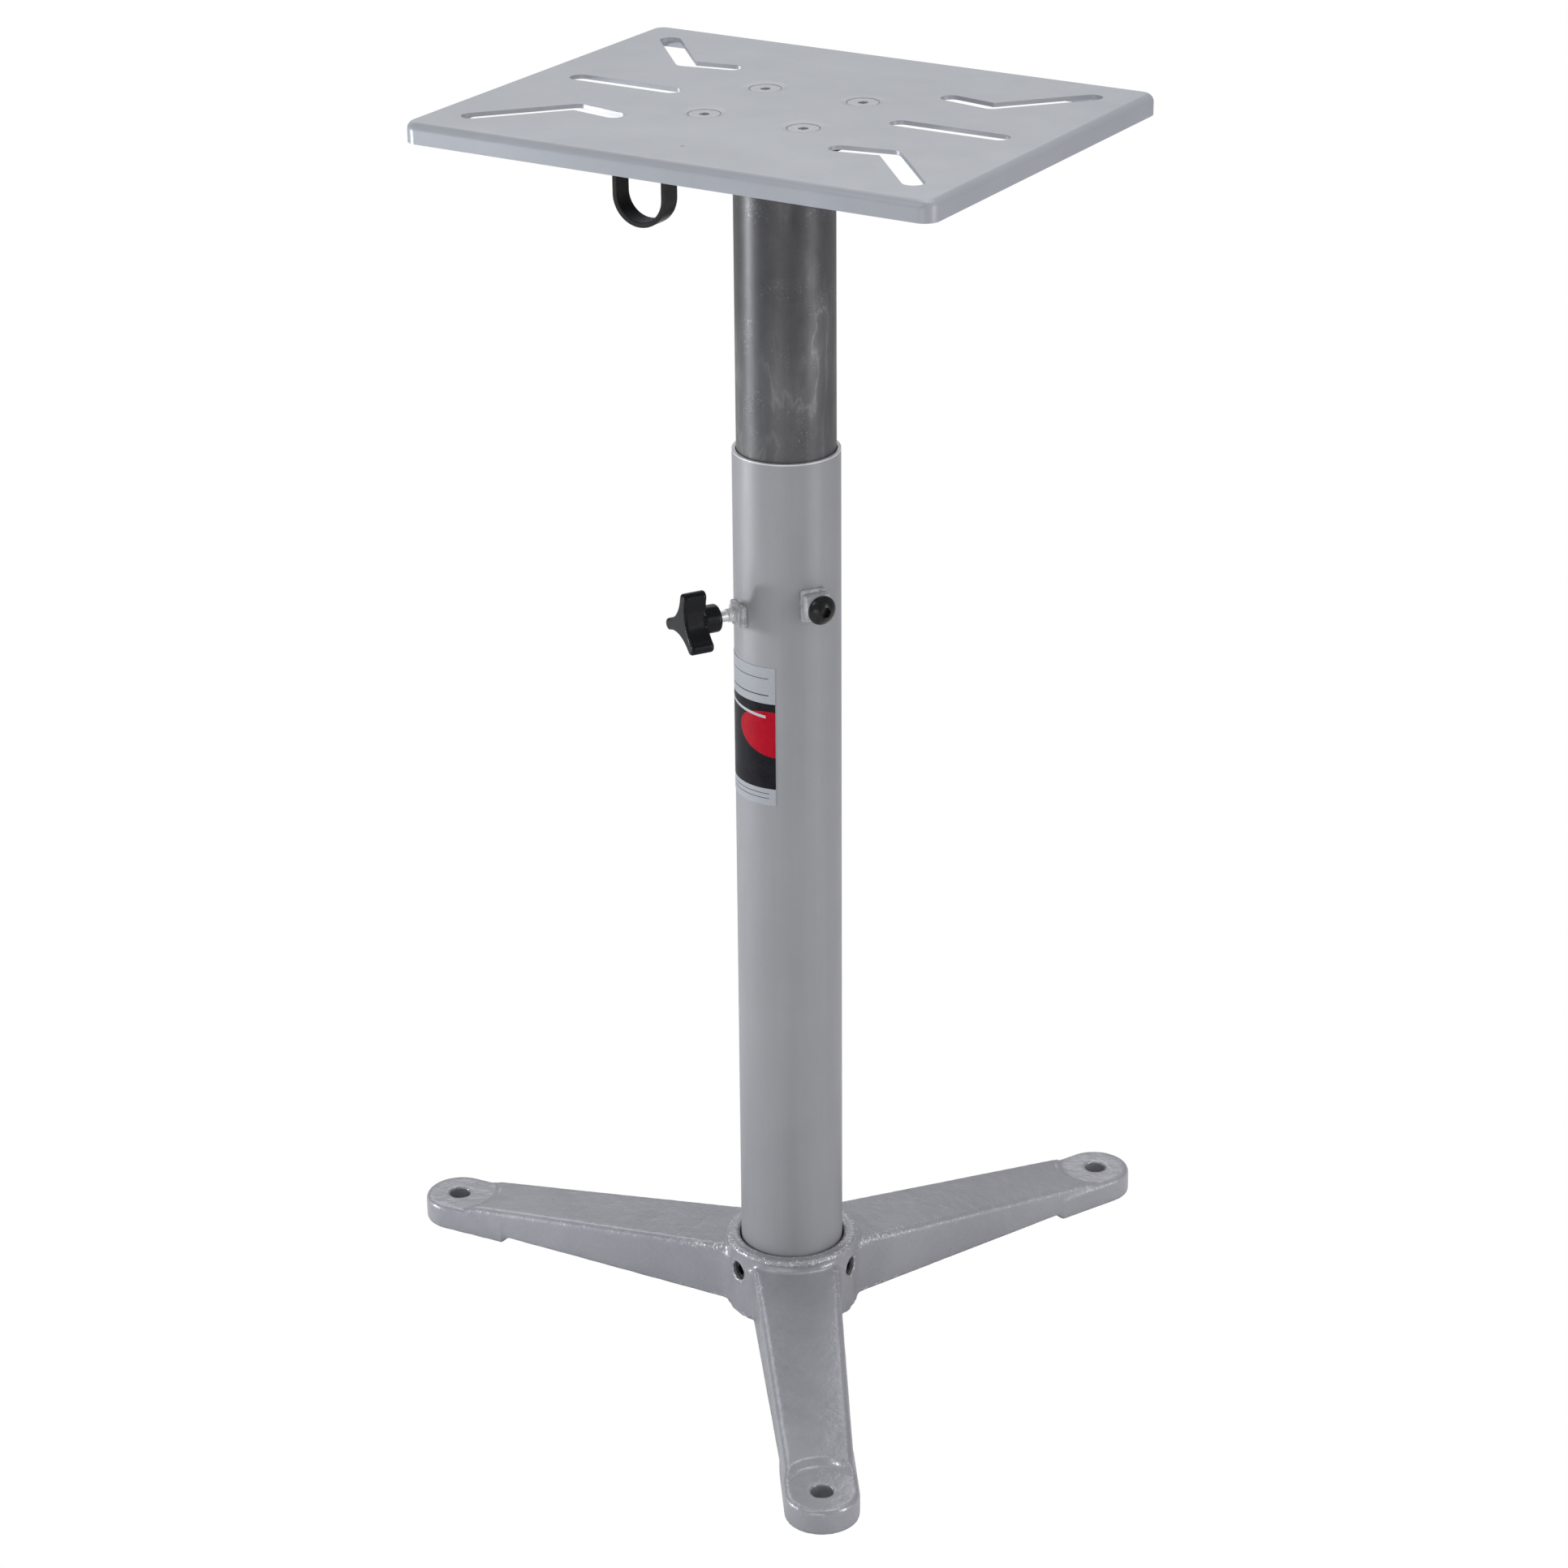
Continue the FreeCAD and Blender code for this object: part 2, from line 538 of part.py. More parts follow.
# --- Lock stud: thread, plain neck, and the end that the knob is moulded on -----------------------
STUD_R = "stud_od / 2"
NECK_R = "stud_neck / 2"
STUD_END = f"{KNOB_START} - {LOCK_TIP} + stud_grip"
TIP_CHAMFER = 1.0
RUN_OUT = 0.7      # length of the slope from the thread down to the neck
lock_stud = turned("lock_stud", [
    ("0", "0"), (f"{STUD_R} - {TIP_CHAMFER}", "0"), (STUD_R, TIP_CHAMFER),
    (STUD_R, "stud_thread"), (NECK_R, f"stud_thread + {RUN_OUT}"), (NECK_R, STUD_END), ("0", STUD_END)])
node(lock_stud, "lock_stud", outward("knob_angle", KNOB_Z, LOCK_TIP))


# --- Knob: three arms round a core, on a boss ---------------------------------------------------
def polar(radius, degrees):
    turn = math.radians(degrees)
    return Vector(radius * math.cos(turn), radius * math.sin(turn), 0)


def star_outline(item):
    """Three round tips, and between each two one hollow arc that touches both of them."""
    tip = value("knob_tip")
    tip_at = value("knob_radius") - tip
    waist = value("knob_waist")
    hollow = (waist ** 2 + tip_at ** 2 - tip_at * waist - tip ** 2) / (2 * tip - 2 * waist + tip_at)
    touches = []
    for aim in (90, 210, 330):
        centre = polar(tip_at, aim)
        for side in (-60, 60):
            toward = polar(waist + hollow, aim + side) - centre
            touches.append(centre + toward * (tip / toward.Length))
        item.addGeometry(Part.Arc(touches[-2], polar(tip_at + tip, aim), touches[-1]))
    for index, aim in enumerate((150, 270, 30)):
        start = touches[2 * index + 1]
        end = touches[(2 * index + 2) % 6]
        item.addGeometry(Part.Arc(start, polar(waist, aim), end))


knob = doc.addObject("PartDesign::Body", "knob_star")
doc.recompute()
arms = sketch(knob, "knob_arms", "XY_Plane", "knob_boss")
star_outline(arms)
pad(knob, "knob_slab", arms, "knob_depth")
faces = [level_at(value("knob_boss")), level_at(value("knob_boss + knob_depth"))]
knob_star = rounded("knob_star_eased", knob, lambda edge: faces[0](edge) or faces[1](edge), "knob_edge")
boss = cylinder("knob_boss_blank", "knob_boss_od / 2", "knob_boss + knob_edge")
boss = rounded("knob_boss_eased", boss, level_at(0), "knob_edge")
stud_socket = cylinder("knob_stud_hole", "stud_neck / 2 + knob_gap", f"stud_grip + {OVERSIZE}",
                       ("0", "0", f"-{OVERSIZE}"))
lock_knob = cut("lock_knob", fuse("knob_whole", [knob_star, boss]), [stud_socket])
spin = Placement(Vector(0, 0, 0), Rotation(Z_AXIS, value("knob_twist")))
node(lock_knob, "lock_knob", outward("knob_angle", KNOB_Z, KNOB_START) * spin)

# --- Lock bolt: a button head with a hexagon socket ----------------------------------------------
SHANK = f"({BOLT_SEAT} - {LOCK_TIP})"
HEAD_TOP = f"({SHANK} + bolt_head_height)"
# The dome is part of a ball that passes through the head's edge and the rim of its flat.
DOME_CENTRE = ("(((bolt_head_flat / 2) ^ 2 + bolt_head_height ^ 2 - (bolt_head_od / 2) ^ 2"
               " - bolt_head_land ^ 2) / (2 * (bolt_head_height - bolt_head_land)))")
shank = cylinder("bolt_shank", "bolt_od / 2", f"{SHANK} + bolt_head_land")
head_blank = cylinder("bolt_head_blank", "bolt_head_od / 2", "bolt_head_height", ("0", "0", SHANK))
dome = primitive("Sphere", "bolt_dome", ("0", "0", f"{SHANK} + {DOME_CENTRE}"),
                 Radius=f"sqrt((bolt_head_od / 2) ^ 2 + (bolt_head_land - {DOME_CENTRE}) ^ 2)")
head = doc.addObject("Part::Common", "bolt_head")
head.Base = head_blank
head.Tool = dome
bolt_socket = hexagon("bolt_socket_hole", "bolt_socket", f"bolt_socket_depth + {OVERSIZE}",
                      ("0", "0", f"{HEAD_TOP} - bolt_socket_depth"))
lock_bolt = cut("lock_bolt", fuse("bolt_whole", [shank, head]), [bolt_socket])
node(lock_bolt, "lock_bolt", outward("bolt_angle", BOLT_Z, LOCK_TIP))

# --- Inner tube ---------------------------------------------------------------------------------
INNER_FOOT = f"({INNER_TOP} - inner_length)"
inner_blank = cylinder("inner_blank", INNER_R, "inner_length", ("0", "0", INNER_FOOT))
inner_bore = cylinder("inner_bore", f"{INNER_R} - inner_wall", f"inner_length + {2 * OVERSIZE}",
                      ("0", "0", f"{INNER_FOOT} - {OVERSIZE}"))
node(cut("inner_tube", inner_blank, [inner_bore]), "inner_tube")

# --- Head: where the plate screws go --------------------------------------------------------------
SCREW_SPOTS = [(f"{sx} * screw_span_x / 2", f"{sy} * screw_span_y / 2") for sx in (-1, 1) for sy in (-1, 1)]
DIMPLE_FACE = f"({PLATE_TOP} - dimple_depth)"
SCREW_TOP = f"({DIMPLE_FACE} - screw_sink)"
SCREW_FOOT = f"({SCREW_TOP} - screw_length)"
CONE_HEIGHT = "((screw_head_od - screw_od) / 2)"     # a 90 degree countersink
HEAD_TOP_OVER = f"({DIMPLE_FACE} - {SCREW_TOP} + {OVERSIZE})"


def screw_holes(name, radius):
    """Four holes from below the flange up through the plate, each with its countersink."""
    tools = []
    for number, (x, y) in enumerate(SCREW_SPOTS, 1):
        tools.append(cylinder(f"{name}_hole{number}", radius, f"flange_height + {PLATE_TOP} - {PLATE_UNDER}",
                              (x, y, f"{PLATE_UNDER} - flange_height")))
        tools.append(primitive("Cone", f"{name}_cone{number}", (x, y, f"{SCREW_TOP} - {CONE_HEIGHT}"),
                               Radius1="screw_od / 2", Radius2="screw_head_od / 2", Height=CONE_HEIGHT))
        tools.append(cylinder(f"{name}_mouth{number}", "screw_head_od / 2", HEAD_TOP_OVER, (x, y, SCREW_TOP)))
    return tools


# Head flange: a disc with a collar that turns on the inner tube.
FLANGE_BORE = f"({INNER_R} + turn_gap)"
COLLAR_R = f"({FLANGE_BORE} + collar_wall)"
flange_blank = turned("head_flange_blank", [
    (FLANGE_BORE, "0"), (FLANGE_BORE, "-flange_height"), (COLLAR_R, "-flange_height"),
    (COLLAR_R, "-flange_rim - flange_edge"), (f"{COLLAR_R} + flange_edge", "-flange_rim"),
    ("flange_od / 2 - flange_edge", "-flange_rim"), ("flange_od / 2", "-flange_rim + flange_edge"),
    ("flange_od / 2", "0")])
flange_blank.setExpression("Placement.Base.z", bound(PLATE_UNDER))
node(cut("head_flange", flange_blank, screw_holes("flange", "screw_od / 2 + thread_gap")), "head_flange")


# --- Top plate: a pressed pan ---------------------------------------------------------------------
def pan(name, inset, bottom):
    """A block with round upright corners and a round top rim, set in from the plate's outside."""
    block = primitive("Box", name + "_block",
                      (f"{inset} - plate_length / 2", f"{inset} - plate_width / 2", bottom),
                      Length=f"plate_length - 2 * {inset}", Width=f"plate_width - 2 * {inset}",
                      Height=f"{PLATE_TOP} - {inset} - ({bottom})")
    corners = rounded(name + "_corners", block, upright, f"plate_corner - {inset}")
    return rounded(name, corners, level_at(value(f"{PLATE_TOP} - {inset}")), f"plate_bend - {inset}")


SLOT_DEPTH = f"plate_gauge + {2 * OVERSIZE}"
SLOT_FOOT = f"({PLATE_UNDER} - {OVERSIZE})"


def slot(name, centres):
    """Cutters for a slot that runs from centre to centre, round at every one of them."""
    tools = [cylinder(f"{name}_end{number}", "slot_width / 2", SLOT_DEPTH, (x, y, SLOT_FOOT))
             for number, (x, y) in enumerate(centres)]
    for number, ((x0, y0), (x1, y1)) in enumerate(zip(centres, centres[1:])):
        bar = doc.addObject("Part::Box", f"{name}_bar{number}")
        bind(bar, {"Length": f"sqrt(({x1} - {x0}) ^ 2 + ({y1} - {y0}) ^ 2)",
                   "Width": "slot_width", "Height": SLOT_DEPTH})
        turn = math.degrees(math.atan2(value(y1) - value(y0), value(x1) - value(x0)))
        start = Placement(Vector(value(x0), value(y0), value(SLOT_FOOT)), Rotation(Z_AXIS, turn))
        bar.Placement = start * Placement(Vector(0, -value("slot_width") / 2, 0), Rotation())
        tools.append(bar)
    return tools


plate_tools = [pan("pan_inside", "plate_gauge", f"({PLATE_TOP} - skirt_depth - {OVERSIZE})")]
for sx in (-1, 1):
    plate_tools += slot(f"side_slot_{sx + 1}", [(f"{sx} * side_slot_near", "0"),
                                                (f"{sx} * side_slot_far", "0")])
    for sy in (-1, 1):
        plate_tools += slot(f"knee_slot_{sx + 1}_{sy + 1}", [
            (f"{sx} * knee_slot_x{step}", f"{sy} * knee_slot_y{step}") for step in range(3)])
for number, (x, y) in enumerate(SCREW_SPOTS, 1):
    plate_tools.append(primitive("Cone", f"dimple{number}", (x, y, DIMPLE_FACE),
                                 Radius1="screw_head_od / 2", Radius2="dimple_od / 2",
                                 Height="dimple_depth"))
plate_tools += screw_holes("plate", "screw_od / 2 + thread_gap")

# Tool loop: its middle, and how far each ear's weld stands from it
LOOP_Y = "(loop_inset - plate_width / 2)"
LOOP_HALF = "(loop_span / 2)"
EAR_END = f"({LOOP_HALF} + loop_ear)"
MARK_X = f"(loop_x + {LOOP_HALF} + loop_ear / 2)"
plate_tools.append(primitive("Cone", "weld_mark", (MARK_X, LOOP_Y, f"{PLATE_TOP} - weld_mark_depth"),
                             Radius1="weld_mark_od / 4", Radius2="weld_mark_od / 2",
                             Height="weld_mark_depth"))
node(cut("top_plate", pan("pan_outside", "0", f"({PLATE_TOP} - skirt_depth)"), plate_tools), "top_plate")


# --- Plate screws ---------------------------------------------------------------------------------
def plate_screw(number, x, y):
    name = f"plate_screw_{number}"
    blank = turned(name + "_blank", [
        ("0", "0"), ("screw_od / 2", "0"), ("screw_od / 2", f"screw_length - {CONE_HEIGHT}"),
        ("screw_head_od / 2", "screw_length"), ("0", "screw_length")])
    socket = hexagon(name + "_socket", "screw_socket", f"screw_socket_depth + {OVERSIZE}",
                     ("0", "0", "screw_length - screw_socket_depth"))
    place = Placement(Vector(value(x), value(y), value(SCREW_FOOT)), Rotation())
    node(cut(name, blank, [socket]), name, place)


for number, (x, y) in enumerate(SCREW_SPOTS, 1):
    plate_screw(number, x, y)


# --- Tool loop: a strip bent to a U, with an ear at each end welded under the plate ----------------
LOOP_LEG = f"(loop_drop - plate_gauge - {LOOP_HALF})"
ALONG_Y = Rotation(Vector(1, 0, 0), -90)       # lays a cylinder's axis along Y


def u_shape(name, half, rise, strip, start):
    """A U-shaped block: two upright sides down to a half round below."""
    slab = primitive("Box", name + "_slab", (f"-{half}", start, f"-{LOOP_LEG}"),
                     Length=f"2 * {half}", Width=strip, Height=f"{LOOP_LEG} + {rise}")
    bow = cylinder(name + "_bow", half, strip)
    bow.Placement = Placement(Vector(0, value(start), -value(LOOP_LEG)), ALONG_Y)
    return fuse(name, [slab, bow])


INNER_HALF = f"({LOOP_HALF} - loop_gauge)"
loop_outside = u_shape("loop_outside", LOOP_HALF, "0", "loop_strip", "-loop_strip / 2")
loop_inside = u_shape("loop_inside", INNER_HALF, OVERSIZE, f"loop_strip + {2 * OVERSIZE}",
                      f"-loop_strip / 2 - {OVERSIZE}")
ears = primitive("Box", "loop_ears", (f"-{EAR_END}", "-loop_strip / 2", "-loop_gauge"),
                 Length=f"2 * {EAR_END}", Width="loop_strip", Height="loop_gauge")
ears = rounded("loop_ears_eased", ears, upright, "loop_corner")
loop_blank = cut("loop_blank", fuse("loop_strap", [loop_outside, ears]), [loop_inside])
loop_reach = value(LOOP_HALF)
loop_throat = value(INNER_HALF)
loop_gauge = value("loop_gauge")


def inside_bend(edge):
    spot = middle(edge)
    return lengthwise(edge) and abs(abs(spot.x) - loop_reach) < 0.01 and abs(spot.z + loop_gauge) < 0.01


def outside_bend(edge):
    spot = middle(edge)
    return lengthwise(edge) and abs(abs(spot.x) - loop_throat) < 0.01 and abs(spot.z) < 0.01


loop_bent = rounded("loop_bent", loop_blank, inside_bend, "loop_bend")
tool_loop = rounded("tool_loop", loop_bent, outside_bend, "loop_bend + loop_gauge")
loop_place = Placement(Vector(value("loop_x"), value(LOOP_Y), value(PLATE_UNDER)), Rotation())
node(tool_loop, "tool_loop", loop_place)


def loop_weld(label, side):
    """A fillet weld along the end of one ear, a quarter round."""
    bead = cylinder(label + "_bead", "loop_weld", "loop_strip - 2 * loop_corner")
    bead.Angle = 90
    lay = Rotation(Vector(side, 0, 0), Vector(0, 0, -1), Vector(0, side, 0), "XYZ")
    start = -side * (value("loop_strip") / 2 - value("loop_corner"))
    bead.Placement = loop_place * Placement(Vector(side * value(EAR_END), start, 0), lay)
    node(bead, label)


loop_weld("loop_weld_left", -1)
loop_weld("loop_weld_right", 1)

# --- Label: a thin sheet wrapped on the column ----------------------------------------------------
LABEL_SWEEP = f"(label_width / {TUBE_R} * 180 / pi)"
LABEL_FOOT = "(tube_top - label_below - label_height)"
label_skin = cylinder("label_skin", f"{TUBE_R} + label_gauge", "label_height")
label_skin.setExpression("Angle", bound(LABEL_SWEEP))
label_core = cylinder("label_core", TUBE_R, f"label_height + {2 * OVERSIZE}", ("0", "0", f"-{OVERSIZE}"))
label = cut("label", label_skin, [label_core])
label_turn = Rotation(Z_AXIS, value(f"label_edge_angle - {LABEL_SWEEP}"))
node(label, "label", Placement(Vector(0, 0, value(LABEL_FOOT)), label_turn))

# --- Check every object, then write one STEP file for each node -----------------------------------
doc.recompute()
for item in doc.Objects:
    faults = [state for state in item.State if state in ("Invalid", "Error")]
    if faults:
        raise RuntimeError(f"{item.Name} is {faults}")
labels = [item.Label for item in nodes]
if len(set(labels)) != len(labels):
    raise RuntimeError("two nodes share a label")
for item in nodes:
    if item.Shape.isNull() or not item.Shape.isValid() or not item.Shape.Solids:
        raise RuntimeError(f"{item.Label} has no valid solid")

os.makedirs("parts", exist_ok=True)
for item in nodes:
    item.Shape.exportStep(os.path.join("parts", item.Label + ".step"))
    box = item.Shape.BoundBox
    corners = (box.XMin, box.YMin, box.ZMin, box.XMax, box.YMax, box.ZMax)
    print(f"{item.Label:18s} solids {len(item.Shape.Solids)} volume {item.Shape.Volume:11.1f} box",
          *(f"{corner:8.2f}" for corner in corners))
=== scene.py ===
import math

import bmesh
import bpy
from mathutils import Matrix, Vector, noise

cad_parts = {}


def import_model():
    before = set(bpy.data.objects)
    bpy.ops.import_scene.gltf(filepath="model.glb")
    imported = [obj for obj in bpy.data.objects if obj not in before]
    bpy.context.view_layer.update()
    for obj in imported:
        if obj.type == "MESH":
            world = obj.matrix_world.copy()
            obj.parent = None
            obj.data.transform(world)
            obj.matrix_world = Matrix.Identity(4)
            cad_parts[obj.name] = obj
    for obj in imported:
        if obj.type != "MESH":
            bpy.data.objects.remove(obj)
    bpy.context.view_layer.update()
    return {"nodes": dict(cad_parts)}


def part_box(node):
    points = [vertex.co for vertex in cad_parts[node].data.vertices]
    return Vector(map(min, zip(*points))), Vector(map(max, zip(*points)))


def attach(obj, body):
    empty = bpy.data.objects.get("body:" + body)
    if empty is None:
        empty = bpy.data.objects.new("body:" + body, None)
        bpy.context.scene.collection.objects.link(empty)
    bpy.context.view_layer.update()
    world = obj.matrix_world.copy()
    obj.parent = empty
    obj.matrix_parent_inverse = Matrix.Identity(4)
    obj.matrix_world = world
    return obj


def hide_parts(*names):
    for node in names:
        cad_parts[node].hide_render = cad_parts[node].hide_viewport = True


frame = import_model()
nodes = frame["nodes"]
scene = bpy.context.scene

# Sizes of the object, in metres, and directions about its axis, in degrees
COLUMN_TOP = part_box("outer_tube")[1].z
TUBE_R = 0.03175
HUB_BORE_R = 0.03255
KNOB_ANGLE = -121.8
KNOB_Z = 0.4718
STUD_TIP = 0.0295
STUD_R = 0.004
STUD_NECK_R = 0.0033
STUD_THREAD = 0.0102
STUD_LENGTH = 0.02865
THREAD_PITCH = 0.00125
THREAD_DEPTH = 0.00068
THREAD_RUN_OUT = 0.0007
STUD_CHAMFER = 0.001
LABEL_WIDTH = 0.062
LABEL_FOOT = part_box("label")[0].z
LABEL_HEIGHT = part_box("label")[1].z - LABEL_FOOT
LABEL_RIGHT = -72.8
LABEL_CORNER = 0.0006
LABEL_GAUGE = 0.0002
LABEL_GLUE = 0.00002

# The label's print, in metres from its lower left corner, with its bar and patch on a slant
PRINT_SLANT = 0.10
FIELD = (0.0106, 0.0650)
RULES = ((0.0042, 0.0046), (0.0072, 0.0076), (0.0700, 0.0706), (0.0806, 0.0810))
RULE_MARGIN = 0.004
BAR = (0.0612, 0.0630)
BAR_START = 0.008
BAR_MARGIN = 0.006
PATCH_LEVEL = 0.0515
PATCH_HALF_WIDTH = 0.026
PATCH_HALF_HEIGHT = 0.0145

# A plate screw's drawn width, as a share of its seat
SCREW_SLIMMING = 0.952

# What paint and casting leave on the pieces, the band of painted highlight at the column's rim, and
# the reach of the casting's grit and painted glints, in metres
RIM_HIGHLIGHT_BAND = 0.0010
GRIT_AND_GLINT_FULL = 0.050
GRIT_AND_GLINT_END = 0.085
SKIN_WAVE = 0.00009
SKIN_SINK = 0.00005
BORE_SKIN = 0.0008
BORE_FOOT = 0.006
BEAD_LUMPS = 0.00035

# Grain of the remeshed pieces, in metres
CASTING_VOXEL = 0.00115
KNOB_VOXEL = 0.00045
NUT_BEAD_VOXEL = 0.00022
LOOP_BEAD_VOXEL = 0.00035

# The camera, fitted to the photo: lens and sensor in millimetres, place in metres, turns in degrees
LENS = 91.905
SENSOR = 36.0
CAMERA_PLACE = (1.13288, -1.87838, 1.32827)
CAMERA_TURN = 31.1696
CAMERA_DOWN = 23.9036
CAMERA_ROLL = -0.4389

# The floor, in metres
FLOOR_REACH = 14.0
FLOOR_DROP = 0.0002


# --- Materials: a small helper that writes a node tree a line at a time ------------------------
class Graph:
    """A material with one principled shader, and the nodes that feed it."""

    def __init__(self, name, **sockets):
        self.material = bpy.data.materials.new(name)
        self.material.use_nodes = True
        self.tree = self.material.node_tree
        self.tree.nodes.clear()
        self.shader = self.add("ShaderNodeBsdfPrincipled")
        output = self.add("ShaderNodeOutputMaterial")
        self.link(self.shader.outputs["BSDF"], output.inputs["Surface"])
        self.place = self.add("ShaderNodeTexCoord").outputs["Object"]
        for socket, amount in sockets.items():
            self.shader.inputs[socket.replace("_", " ")].default_value = amount

    def add(self, kind, **settings):
        item = self.tree.nodes.new(kind)
        for name, setting in settings.items():
            setattr(item, name, setting)
        return item

    def link(self, source, target):
        self.tree.links.new(source, target)

    def feed(self, target, source):
        """Puts a number or an output into a socket."""
        if hasattr(source, "links"):
            self.link(source, target)
        else:
            target.default_value = source

    def stretched(self, x, y, z):
        item = self.add("ShaderNodeMapping")
        item.inputs["Scale"].default_value = (x, y, z)
        self.link(self.place, item.inputs["Vector"])
        return item.outputs["Vector"]

    def noise(self, scale, detail=3.0, rough=0.55, distortion=0.0, at=None):
        item = self.add("ShaderNodeTexNoise")
        self.link(at or self.place, item.inputs["Vector"])
        item.inputs["Scale"].default_value = scale
        item.inputs["Detail"].default_value = detail
        item.inputs["Roughness"].default_value = rough
        item.inputs["Distortion"].default_value = distortion
        return item.outputs["Fac"]

    def cells(self, scale):
        """The distance to the middle of each small cell."""
        item = self.add("ShaderNodeTexVoronoi")
        self.link(self.place, item.inputs["Vector"])
        item.inputs["Scale"].default_value = scale
        return item.outputs["Distance"]

    def flakes(self, scale):
        """One random grey for each small cell."""
        item = self.add("ShaderNodeTexVoronoi")
        self.link(self.place, item.inputs["Vector"])
        item.inputs["Scale"].default_value = scale
        grey = self.add("ShaderNodeSeparateColor")
        self.link(item.outputs["Color"], grey.inputs["Color"])
        return grey.outputs["Red"]

    def math(self, operation, first, second=0.0, clamp=False):
        item = self.add("ShaderNodeMath", operation=operation, use_clamp=clamp)
        self.feed(item.inputs[0], first)
        self.feed(item.inputs[1], second)
        return item.outputs[0]

    def remap(self, source, low, high, to_low=0.0, to_high=1.0):
        item = self.add("ShaderNodeMapRange")
        self.feed(item.inputs["Value"], source)
        for socket, amount in (("From Min", low), ("From Max", high),
                               ("To Min", to_low), ("To Max", to_high)):
            item.inputs[socket].default_value = amount
        return item.outputs["Result"]

    def mix(self, factor, first, second):
        item = self.add("ShaderNodeMix", data_type="RGBA")
        self.feed(item.inputs[0], factor)
        for socket, colour in ((item.inputs[6], first), (item.inputs[7], second)):
            if hasattr(colour, "links"):
                self.link(colour, socket)
            else:
                socket.default_value = (*colour, 1.0)
        return item.outputs[2]

    def bump(self, height, distance, strength=1.0, over=None):
        item = self.add("ShaderNodeBump")
        item.inputs["Strength"].default_value = strength
        item.inputs["Distance"].default_value = distance
        self.link(height, item.inputs["Height"])
        if over:
            self.link(over, item.inputs["Normal"])
        return item.outputs["Normal"]

    def parts(self, vector=None):
        item = self.add("ShaderNodeSeparateXYZ")
        self.link(vector or self.place, item.inputs[0])
        return item.outputs

    def colour(self, source):
        self.link(source, self.shader.inputs["Base Color"])

    def roughness(self, source):
        self.link(source, self.shader.inputs["Roughness"])

    def normal(self, source):
        self.link(source, self.shader.inputs["Normal"])
        self.link(source, self.shader.inputs["Coat Normal"])


def silver_paint(name, dark, light, cloud, streak=None, rim=None):
    """Satin silver paint: fine flakes, soft clouding and a slight orange peel, and a painted
    highlight along the rim when one is given.
    """
    graph = Graph(name, Metallic=0.14, Coat_Weight=0.15, Coat_Roughness=0.22)
    cloudy = graph.noise(cloud, 4.0, 0.6, 0.4)
    if streak:
        runs = graph.noise(streak, 4.0, 0.65, at=graph.stretched(1.0, 1.0, 0.06))
        cloudy = graph.math("ADD", graph.math("MULTIPLY", cloudy, 0.55),
                            graph.math("MULTIPLY", runs, 0.45))
    fleck = graph.remap(graph.flakes(2600.0), 0.0, 1.0, -0.14, 0.14)
    tone = graph.math("ADD", graph.remap(cloudy, 0.32, 0.68), fleck)
    skin = graph.mix(tone, dark, light)
    # A painted highlight: the top of the column's rim, and a little below it, is drawn near white,
    # broken up by noise.
    if rim:
        height = graph.remap(graph.parts()["Z"], rim - RIM_HIGHLIGHT_BAND, rim - 0.3 * RIM_HIGHLIGHT_BAND)
        wear_and_painted_light = graph.math("MULTIPLY", height,
                          graph.remap(graph.noise(90.0, 3.0, 0.6), 0.3, 0.6, 0.6, 1.0))
        skin = graph.mix(wear_and_painted_light, skin, (0.92, 0.92, 0.93))
    graph.colour(skin)
    graph.roughness(graph.remap(graph.noise(38.0, 4.0, 0.6), 0.3, 0.7, 0.36, 0.47))
    peel = graph.bump(graph.noise(420.0, 2.0, 0.5), 0.00003, 0.6)
    graph.normal(graph.bump(graph.noise(2600.0, 1.0, 0.5), 0.000012, 0.5, peel))
    return graph.material


def casting_paint():
    """Glossy silver paint on a sand casting: soft waves, pits, and grains on edges that sparkle, with
    painted glints added on the edges near the hub.
    """
    graph = Graph("casting_paint", Metallic=0.35, Coat_Weight=0.9, Coat_Roughness=0.09)
    cloudy = graph.noise(14.0, 5.0, 0.6, 0.6)
    fleck = graph.remap(graph.flakes(1500.0), 0.0, 1.0, -0.22, 0.22)
    tone = graph.math("ADD", graph.remap(cloudy, 0.3, 0.7), fleck)
    skin = graph.mix(tone, (0.346, 0.345, 0.381), (0.427, 0.426, 0.466))
    crest = graph.remap(graph.add("ShaderNodeNewGeometry").outputs["Pointiness"], 0.503, 0.516)
    grain = graph.noise(430.0, 2.0, 0.6)
    spots = graph.parts()
    reach = graph.math("SQRT", graph.math("ADD", graph.math("POWER", spots["X"], 2.0),
                                          graph.math("POWER", spots["Y"], 2.0)))
    near_hub = graph.remap(reach, GRIT_AND_GLINT_FULL, GRIT_AND_GLINT_END, 1.0, 0.12)
    # Painted glints: white flecks on the sharpest edges near the hub, where the grain is high.
    painted_glint = graph.math("MULTIPLY", graph.math("MULTIPLY", crest, near_hub),
                       graph.remap(grain, 0.55, 0.64))
    skin = graph.mix(graph.math("MULTIPLY", painted_glint, 0.6), skin, (0.97, 0.97, 0.98))
    specks = graph.remap(graph.cells(95.0), 0.035, 0.055, 0.85, 0.0)
    rare = graph.remap(graph.noise(31.0, 1.0, 0.5), 0.60, 0.64)
    graph.colour(graph.mix(graph.math("MULTIPLY", specks, rare), skin, (0.09, 0.09, 0.10)))
    graph.roughness(graph.remap(graph.noise(160.0, 4.0, 0.6), 0.3, 0.7, 0.28, 0.46))
    waves = graph.noise(150.0, 3.0, 0.5)
    pits = graph.remap(graph.cells(210.0), 0.0, 0.16)
    gritty = graph.math("MULTIPLY", crest, near_hub)
    rough_edge = graph.math("MULTIPLY", grain, graph.math("ADD", gritty, 0.22))
    first = graph.bump(waves, 0.00045, 0.7)
    second = graph.bump(pits, 0.00006, 0.6, first)
    graph.normal(graph.bump(rough_edge, 0.0007, 0.9, second))
    return graph.material


